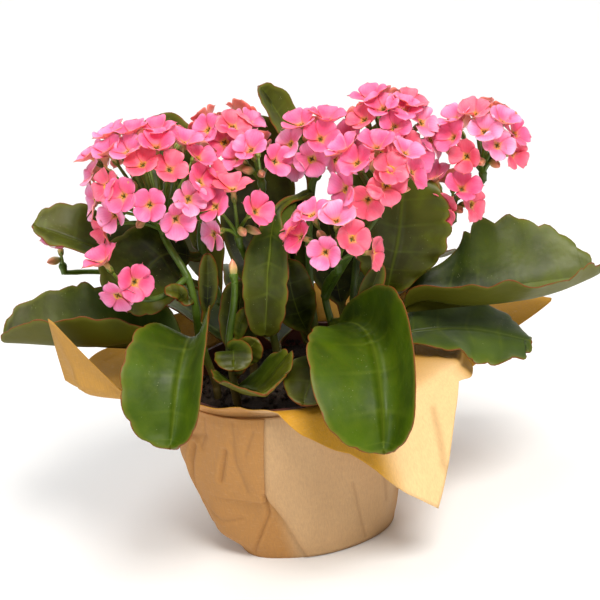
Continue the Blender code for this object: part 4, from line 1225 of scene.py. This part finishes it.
def crease_depth(headings, heights):
    """How far the creases draw the paper in, in metres, and how much painted shade lies along them, from 0
    to 1.
    """
    depth = np.zeros(np.broadcast(headings, heights).shape)
    painted_crease_shade = np.zeros_like(depth)
    for deep, wide, line in CREASES:
        best = np.full(depth.shape, 1e9)
        for (h0, z0), (h1, z1) in zip(line, line[1:]):
            ax, ay = (headings - h0) * 0.87, heights / MM - z0
            bx, by = (h1 - h0) * 0.87, z1 - z0
            t = np.clip((ax * bx + ay * by) / (bx * bx + by * by), 0, 1)
            best = np.minimum(best, np.hypot(ax - t * bx, ay - t * by))
        ridge = 0.45 * np.exp(-((best - 2.6 * wide) / (1.5 * wide)) ** 2)
        depth += deep * MM * (np.exp(-(best / wide) ** 2) - ridge)
        painted_crease_shade = np.maximum(painted_crease_shade, np.exp(-(best / (0.5 * wide)) ** 2))
    return depth, painted_crease_shade


def slack(headings, heights):
    """How far the loose paper stands off the pot, in metres."""
    z = heights / MM
    share = heights / RIM_Z
    turn = np.radians(headings)
    ripple = 0.5 * np.sin(turn * 7 + z * 0.05) + 0.4 * np.sin(turn * 13 - z * 0.09)
    reach = (0.5 + ripple) * step(0, 12, z) * step(84, 66, z)
    for middle_at, spread, most, low, high in SLACK:
        away = (headings - middle_at + 180) % 360 - 180
        here = step(low - 0.15, low, share) * step(0.96, high, share)
        reach = reach + most * np.exp(-(away / spread) ** 2) * here
    return reach * MM


# How many of the sheet's columns lie in its cone and its lip, and how far out those of its floor
# lie. RIM_COLUMN is the first one past the lip.
CONE_COLUMNS, LIP_COLUMNS = 66, 5
FLOOR_SHARES = (0.02, 0.25, 0.5, 0.75, 0.93, 0.985)
FLOOR_COLUMNS = len(FLOOR_SHARES)
RIM_COLUMN = FLOOR_COLUMNS + CONE_COLUMNS + LIP_COLUMNS


def paper_profile(headings):
    """For each heading, the paper's middle from floor to edge, as radii and heights."""
    reach, rise, reach_2, rise_2 = collar_at(headings)
    foot = FOOT_R + GAP + PAPER / 2
    one = np.ones_like(headings)
    top = RIM_Z - LIP_H - 1 * MM
    base = foot + slack(headings, 0 * headings)
    floor = [(one * r * base, one * PAPER / 2) for r in FLOOR_SHARES]
    cone = []
    for t in np.linspace(0, 1, CONE_COLUMNS):
        soft = min(1.0, t * 60)
        cone.append((one * (foot + (WRAP_RIM - foot) * t), one * (PAPER / 2 + (top - PAPER / 2) * t) * soft))
    lip = [(one * WRAP_RIM, one * (top + (RIM_Z - top) * t)) for t in np.linspace(0.2, 1, LIP_COLUMNS)]
    knots = np.array([
        (WRAP_RIM * one, RIM_Z * one),
        (WRAP_RIM + reach, RIM_Z + rise),
        (WRAP_RIM + reach + reach_2 * 0.55, RIM_Z + rise + rise_2 * 0.45),
        (WRAP_RIM + reach + reach_2, RIM_Z + rise + rise_2)])
    knots = np.concatenate([[[WRAP_RIM * one, (RIM_Z - 6 * MM) * one]], knots, [2 * knots[-1] - knots[-2]]])
    collar = []
    for i in range(3):
        a, b, c, d = knots[i:i + 4]
        for t in np.linspace(0, 1, 11)[1:]:
            collar.append(between(a, b, c, d, t))
    profile = np.array([np.array(p) for p in floor + cone + lip + collar])
    return profile[:, 0].T, profile[:, 1].T


def paper_tone(headings, outside, collar):
    """The paper's tones, with painted light and shade: brown outside, lighter and pinker at the front right
    as painted light, darker on the left as painted shade; golden inside as painted shade with light through
    the paper; pale on both sides of the turned flap as painted light where the lamp falls; golden and darker
    at the left collar as painted shade.
    """
    # Painted light: the front right panel is lighter and pinker than the left, whose darker brown is painted
    # shade.
    brown = mix(paint("B48143"), paint("C49F72"), step(246, 262, headings) * step(350, 330, headings))
    # Painted shade with light through the paper: the inside of the sheet is golden.
    inner = paint("C8921A")
    # Painted light: the turned flap is pale on both sides where the lamp falls on it.
    flap = step(296, 306, headings) * step(350, 338, headings)
    inner = mix(inner, paint("F2CB92"), flap * collar)
    # Painted shade: golden and darker inside at the left headings and on the left collar.
    left = step(150, 170, headings) * step(225, 212, headings)
    inner = mix(inner, paint("B4831E"), left)
    brown = mix(brown, paint("B98A3A"), left * collar)
    return inner if not outside else mix(brown, paint("EEC78E"), flap * collar)


def paper_wrap(finish):
    """The sheet as one thin shell: floor, cone and collar, with the two overlaps at the front."""
    turns = 420
    headings = np.arange(turns) * 360.0 / turns
    radius, height = paper_profile(headings)
    columns = radius.shape[1]
    wide = np.repeat(headings[:, None], columns, axis=1)
    standing = np.arange(columns)[None, :] < RIM_COLUMN + 3
    depth, painted_crease_shade = crease_depth(wide, height)
    offset = np.where(standing, slack(wide, height) - depth * step(0, 8 * MM, height), 0)
    offset[:, :FLOOR_COLUMNS] = 0
    radius = radius + offset
    along = np.maximum(0, np.arange(columns) - RIM_COLUMN) / (columns - RIM_COLUMN - 1)
    turn = np.radians(wide)
    wave = 0.7 * np.sin(turn * 11 + along * 2) + 0.5 * np.sin(turn * 23 + 1 + along * 3)
    height = height + wave * MM * np.clip(along, 0, 1)
    grid = np.stack([radius * np.cos(turn), radius * np.sin(turn), height], axis=-1)
    looped = np.concatenate([grid[-1:], grid, grid[:1]])
    n = -normals_of(looped)[1:-1]
    outward = np.stack([np.cos(turn), np.sin(turn), 0 * turn], axis=-1)
    half_up = FLOOR_COLUMNS + CONE_COLUMNS // 2 + 1
    check = (n[:, half_up] * outward[:, half_up]).sum(axis=-1).mean()
    n = n * (1 if check > 0 else -1)
    n[:, :FLOOR_COLUMNS - 1] = (0, 0, -1)
    half = 0.5 * 0.45 * MM
    over, under = grid + n * half, grid - n * half
    over[..., 2] = np.maximum(over[..., 2], 0)
    under[..., 2] = np.maximum(under[..., 2], 0.05 * MM)
    size = turns * columns
    faces = []
    for i in range(turns):
        j = (i + 1) % turns
        for k in range(columns - 1):
            a, b = i * columns + k, j * columns + k
            faces.append((a, b, b + 1, a + 1))
            faces.append((size + a, size + a + 1, size + b + 1, size + b))
        a, b = i * columns + columns - 1, j * columns + columns - 1
        faces.append((a, b, size + b, size + a))
    faces.append(tuple(i * columns for i in range(turns)))
    faces.append(tuple(size + i * columns for i in reversed(range(turns))))
    collar = np.clip(along * 3, 0, 1)
    tone = np.concatenate([
        paper_tone(wide, True, collar).reshape(-1, 3),
        (paper_tone(wide, False, collar) * np.ones(wide.shape + (3,))).reshape(-1, 3)])
    shape = Shape()
    shape.add(np.concatenate([over.reshape(-1, 3), under.reshape(-1, 3)]), faces, tone=tone,
              crease=np.concatenate([painted_crease_shade.ravel(), painted_crease_shade.ravel()]) * 1.0)
    # The layers take the panels' browns: the left darker as painted shade, the right lighter as painted
    # light.
    overlap(shape, left_edge, 208.0, 87.0, 38.0, 1.7, "B48143")
    overlap(shape, right_edge, 340.0, 87.0, 0.9, 0.8, "C49F72")
    piece = shape.made("paper_wrap", [finish], ["paper_wrap"], "kraft_paper")
    return piece


def left_edge(z):
    """The heading of the left layer's free edge at a height in millimetres."""
    return 255.8 - (83 - z) * 0.2


def right_edge(z):
    """The heading of the right layer's slanting edge, and above it of the part under the left."""
    return np.where(z < 43, 263.6 - z * 0.385, 247 - (z - 43) * 0.1)


def overlap(shape, edge, far, high, low, lift, code):
    """A second layer on the cone, from its free edge to the heading where it joins the sheet,
    between two heights in millimetres."""
    rows, columns = 90, 60
    z = np.linspace(high, low, columns)[None, :] * np.ones((rows, 1))
    across = (np.linspace(0, 1, rows)[:, None] ** 1.3) * np.ones((1, columns))
    start = edge(z)
    heading = start + (far - start) * across
    foot = FOOT_R + GAP + PAPER / 2
    top = (RIM_Z - LIP_H - 1 * MM) / MM
    radius = foot + (WRAP_RIM - foot) * np.clip(z / top, 0, 1)
    depth, painted_crease_shade = crease_depth(heading, z * MM)
    offset = slack(heading, z * MM) - depth * step(0, 8, z)
    rise = lift * MM * (1 - step(0.0, 1.0, across)) + 0.35 * MM * (1 - step(0.6, 1.0, across)) - 0.12 * MM
    rise = rise + 0.5 * MM * np.exp(-across / 0.04) * (0.6 + 0.4 * np.sin(z * 0.21))
    radius = radius + offset + rise
    turn = np.radians(heading)
    grid = np.stack([radius * np.cos(turn), radius * np.sin(turn), z * MM], axis=-1)
    n = normals_of(grid)
    outward = np.stack([np.cos(turn), np.sin(turn), 0 * turn], axis=-1)
    n = n * np.sign((n * outward).sum(axis=-1).mean())
    points, faces = shell(grid, n, 0.4 * MM)
    tone = mix(paint(code), paint("A87844"), 0.5 * np.exp(-across / 0.02).reshape(-1))
    shape.add(points, faces, tone=np.concatenate([tone, tone]), crease=np.concatenate([painted_crease_shade.ravel()] * 2))


# ---------------------------------------------------------------- camera, light and floor

def add_camera():
    """A camera that looks down at the plant's middle, and leans."""
    away = 0.7
    aim = Vector((0.0115, 0, 0.122))
    back = Vector((0, -math.cos(VIEW_RISE), math.sin(VIEW_RISE)))
    level = Vector((1, 0, 0))
    upright = back.cross(level)
    right = level * math.cos(VIEW_LEAN) - upright * math.sin(VIEW_LEAN)
    over = level * math.sin(VIEW_LEAN) + upright * math.cos(VIEW_LEAN)
    lens = bpy.data.cameras.new("camera")
    lens.sensor_width = 36
    lens.lens = 84
    camera = bpy.data.objects.new("camera", lens)
    bpy.context.collection.objects.link(camera)
    turned = Matrix((right, over, back)).transposed().to_4x4()
    camera.matrix_world = Matrix.Translation(aim + back * away) @ turned
    bpy.context.scene.camera = camera


def add_lamp(name, place_at, energy, size, colour):
    """A round soft lamp that shines at the plant's middle."""
    data = bpy.data.lights.new(name, "AREA")
    data.energy = energy
    data.shape = "DISK"
    data.size = size
    data.color = colour
    made = bpy.data.objects.new(name, data)
    bpy.context.collection.objects.link(made)
    made.location = place_at
    middle = Vector((0.01, 0, 0.12))
    made.rotation_euler = (middle - Vector(place_at)).to_track_quat("-Z", "Y").to_euler()


def add_studio():
    """Dim warm light from everywhere, and three lamps."""
    world = bpy.data.worlds.new("studio")
    world.use_nodes = True
    background = world.node_tree.nodes["Background"]
    background.inputs["Color"].default_value = (1.0, 0.96, 0.91, 1)
    background.inputs["Strength"].default_value = 0.28
    bpy.context.scene.world = world
    bpy.context.scene.view_settings.view_transform = "Standard"
    add_lamp("key", (0.5, -0.9, 1.5), 31, 0.8, (1.0, 0.95, 0.87))
    add_lamp("top", (-0.3, 0.2, 1.6), 11, 1.0, (1.0, 0.97, 0.92))
    add_lamp("fill", (-1.2, -0.9, 0.7), 5, 0.9, (0.95, 0.97, 1.0))


def add_floor():
    """A pale floor that curves up into a wall behind the plant."""
    wide, near, bend, top, steps = 4, -4, 0.7, 4, 16
    mesh = bpy.data.meshes.new("floor")
    arc = [math.radians(90 * k / steps) for k in range(steps + 1)]
    curve = [(bend + bend * math.sin(a), bend - bend * math.cos(a)) for a in arc]
    sweep = [(near, 0)] + curve + [(2 * bend, top)]
    points = [(x, y, z) for y, z in sweep for x in (-wide, wide)]
    faces = [(2 * k, 2 * k + 1, 2 * k + 3, 2 * k + 2) for k in range(len(sweep) - 1)]
    mesh.from_pydata(points, [], faces)
    mesh.polygons.foreach_set("use_smooth", [True] * len(mesh.polygons))
    floor = bpy.data.objects.new("floor", mesh)
    bpy.context.collection.objects.link(floor)
    m = Nodes("pale_floor")
    m.set(Base_Color=m.blend(m.noise(3.0, 2.0), (0.9, 0.92, 0.95), (0.92, 0.94, 0.97)), Roughness=0.8)
    mesh.materials.append(m.material)


add_camera()
add_studio()
add_floor()

# ---------------------------------------------------------------- the plant

leaf_skin = leaf_material()
petal_skin = petal_material()
green_skin = green_material()
kraft = paper_material()
peat = soil_material()
plastic = pot_material()

GREENS = {
    "mid": "435A08", "deep": "37480A", "dark": "232E08",
    "olive": "47490C", "blue": "4A5C36", "grey": "626A3E",
}
# A leaf's green, the lobes along each side, how deep the nicks between them are and how wavy the
# leaf is, both in millimetres, and the green of its tip.
LOOKS = {
    "leaf_front_left": ("mid", 9, 1.2, 0.9, "mid"),
    "leaf_front_right": ("mid", 9, 1.0, 1.0, "mid"),
    "leaf_right_large": ("deep", 10, 2.6, 2.2, "grey"),
    "leaf_right_low": ("blue", 9, 2.6, 2.0, "blue"),
    "leaf_right_upright": ("olive", 8, 2.4, 1.6, "olive"),
    "leaf_tall_back": ("grey", 6, 2.0, 1.4, "olive"),
    "leaf_centre_hanging": ("deep", 8, 1.8, 1.2, "olive"),
    "leaf_left_low": ("mid", 9, 1.6, 1.6, "olive"),
    "leaf_left_high": ("deep", 8, 1.6, 1.4, "olive"),
}

for name, routes in SHOOTS.items():
    shoot(name, routes, green_skin)
for number, (name, design) in enumerate(LEAVES.items()):
    usual = (("deep", "dark")[number % 2], 0, 1.1, 0.9, "olive")
    shade, lobes, nick, waves, tip = LOOKS.get(name, usual)
    tone, tip_tone = paint(GREENS[shade]), paint(GREENS[tip])
    # Painted shade: leaves deep inside the plant are darkened to 60% at the base and 70% at the tip.
    if any(part in name for part in ("narrow", "inner", "centre_dark", "bract")):
        tone, tip_tone = tone * 0.6, tip_tone * 0.7
    leaf(name, design, leaf_skin, tone, lobes, nick, waves, tip_tone)
for name, design in HEADS.items():
    flower_head(name, design, [petal_skin, green_skin])
compost(peat)
wrap = paper_wrap(kraft)
pot_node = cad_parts["nursery_pot"]
pot_node.data.materials.clear()
pot_node.data.materials.append(plastic)
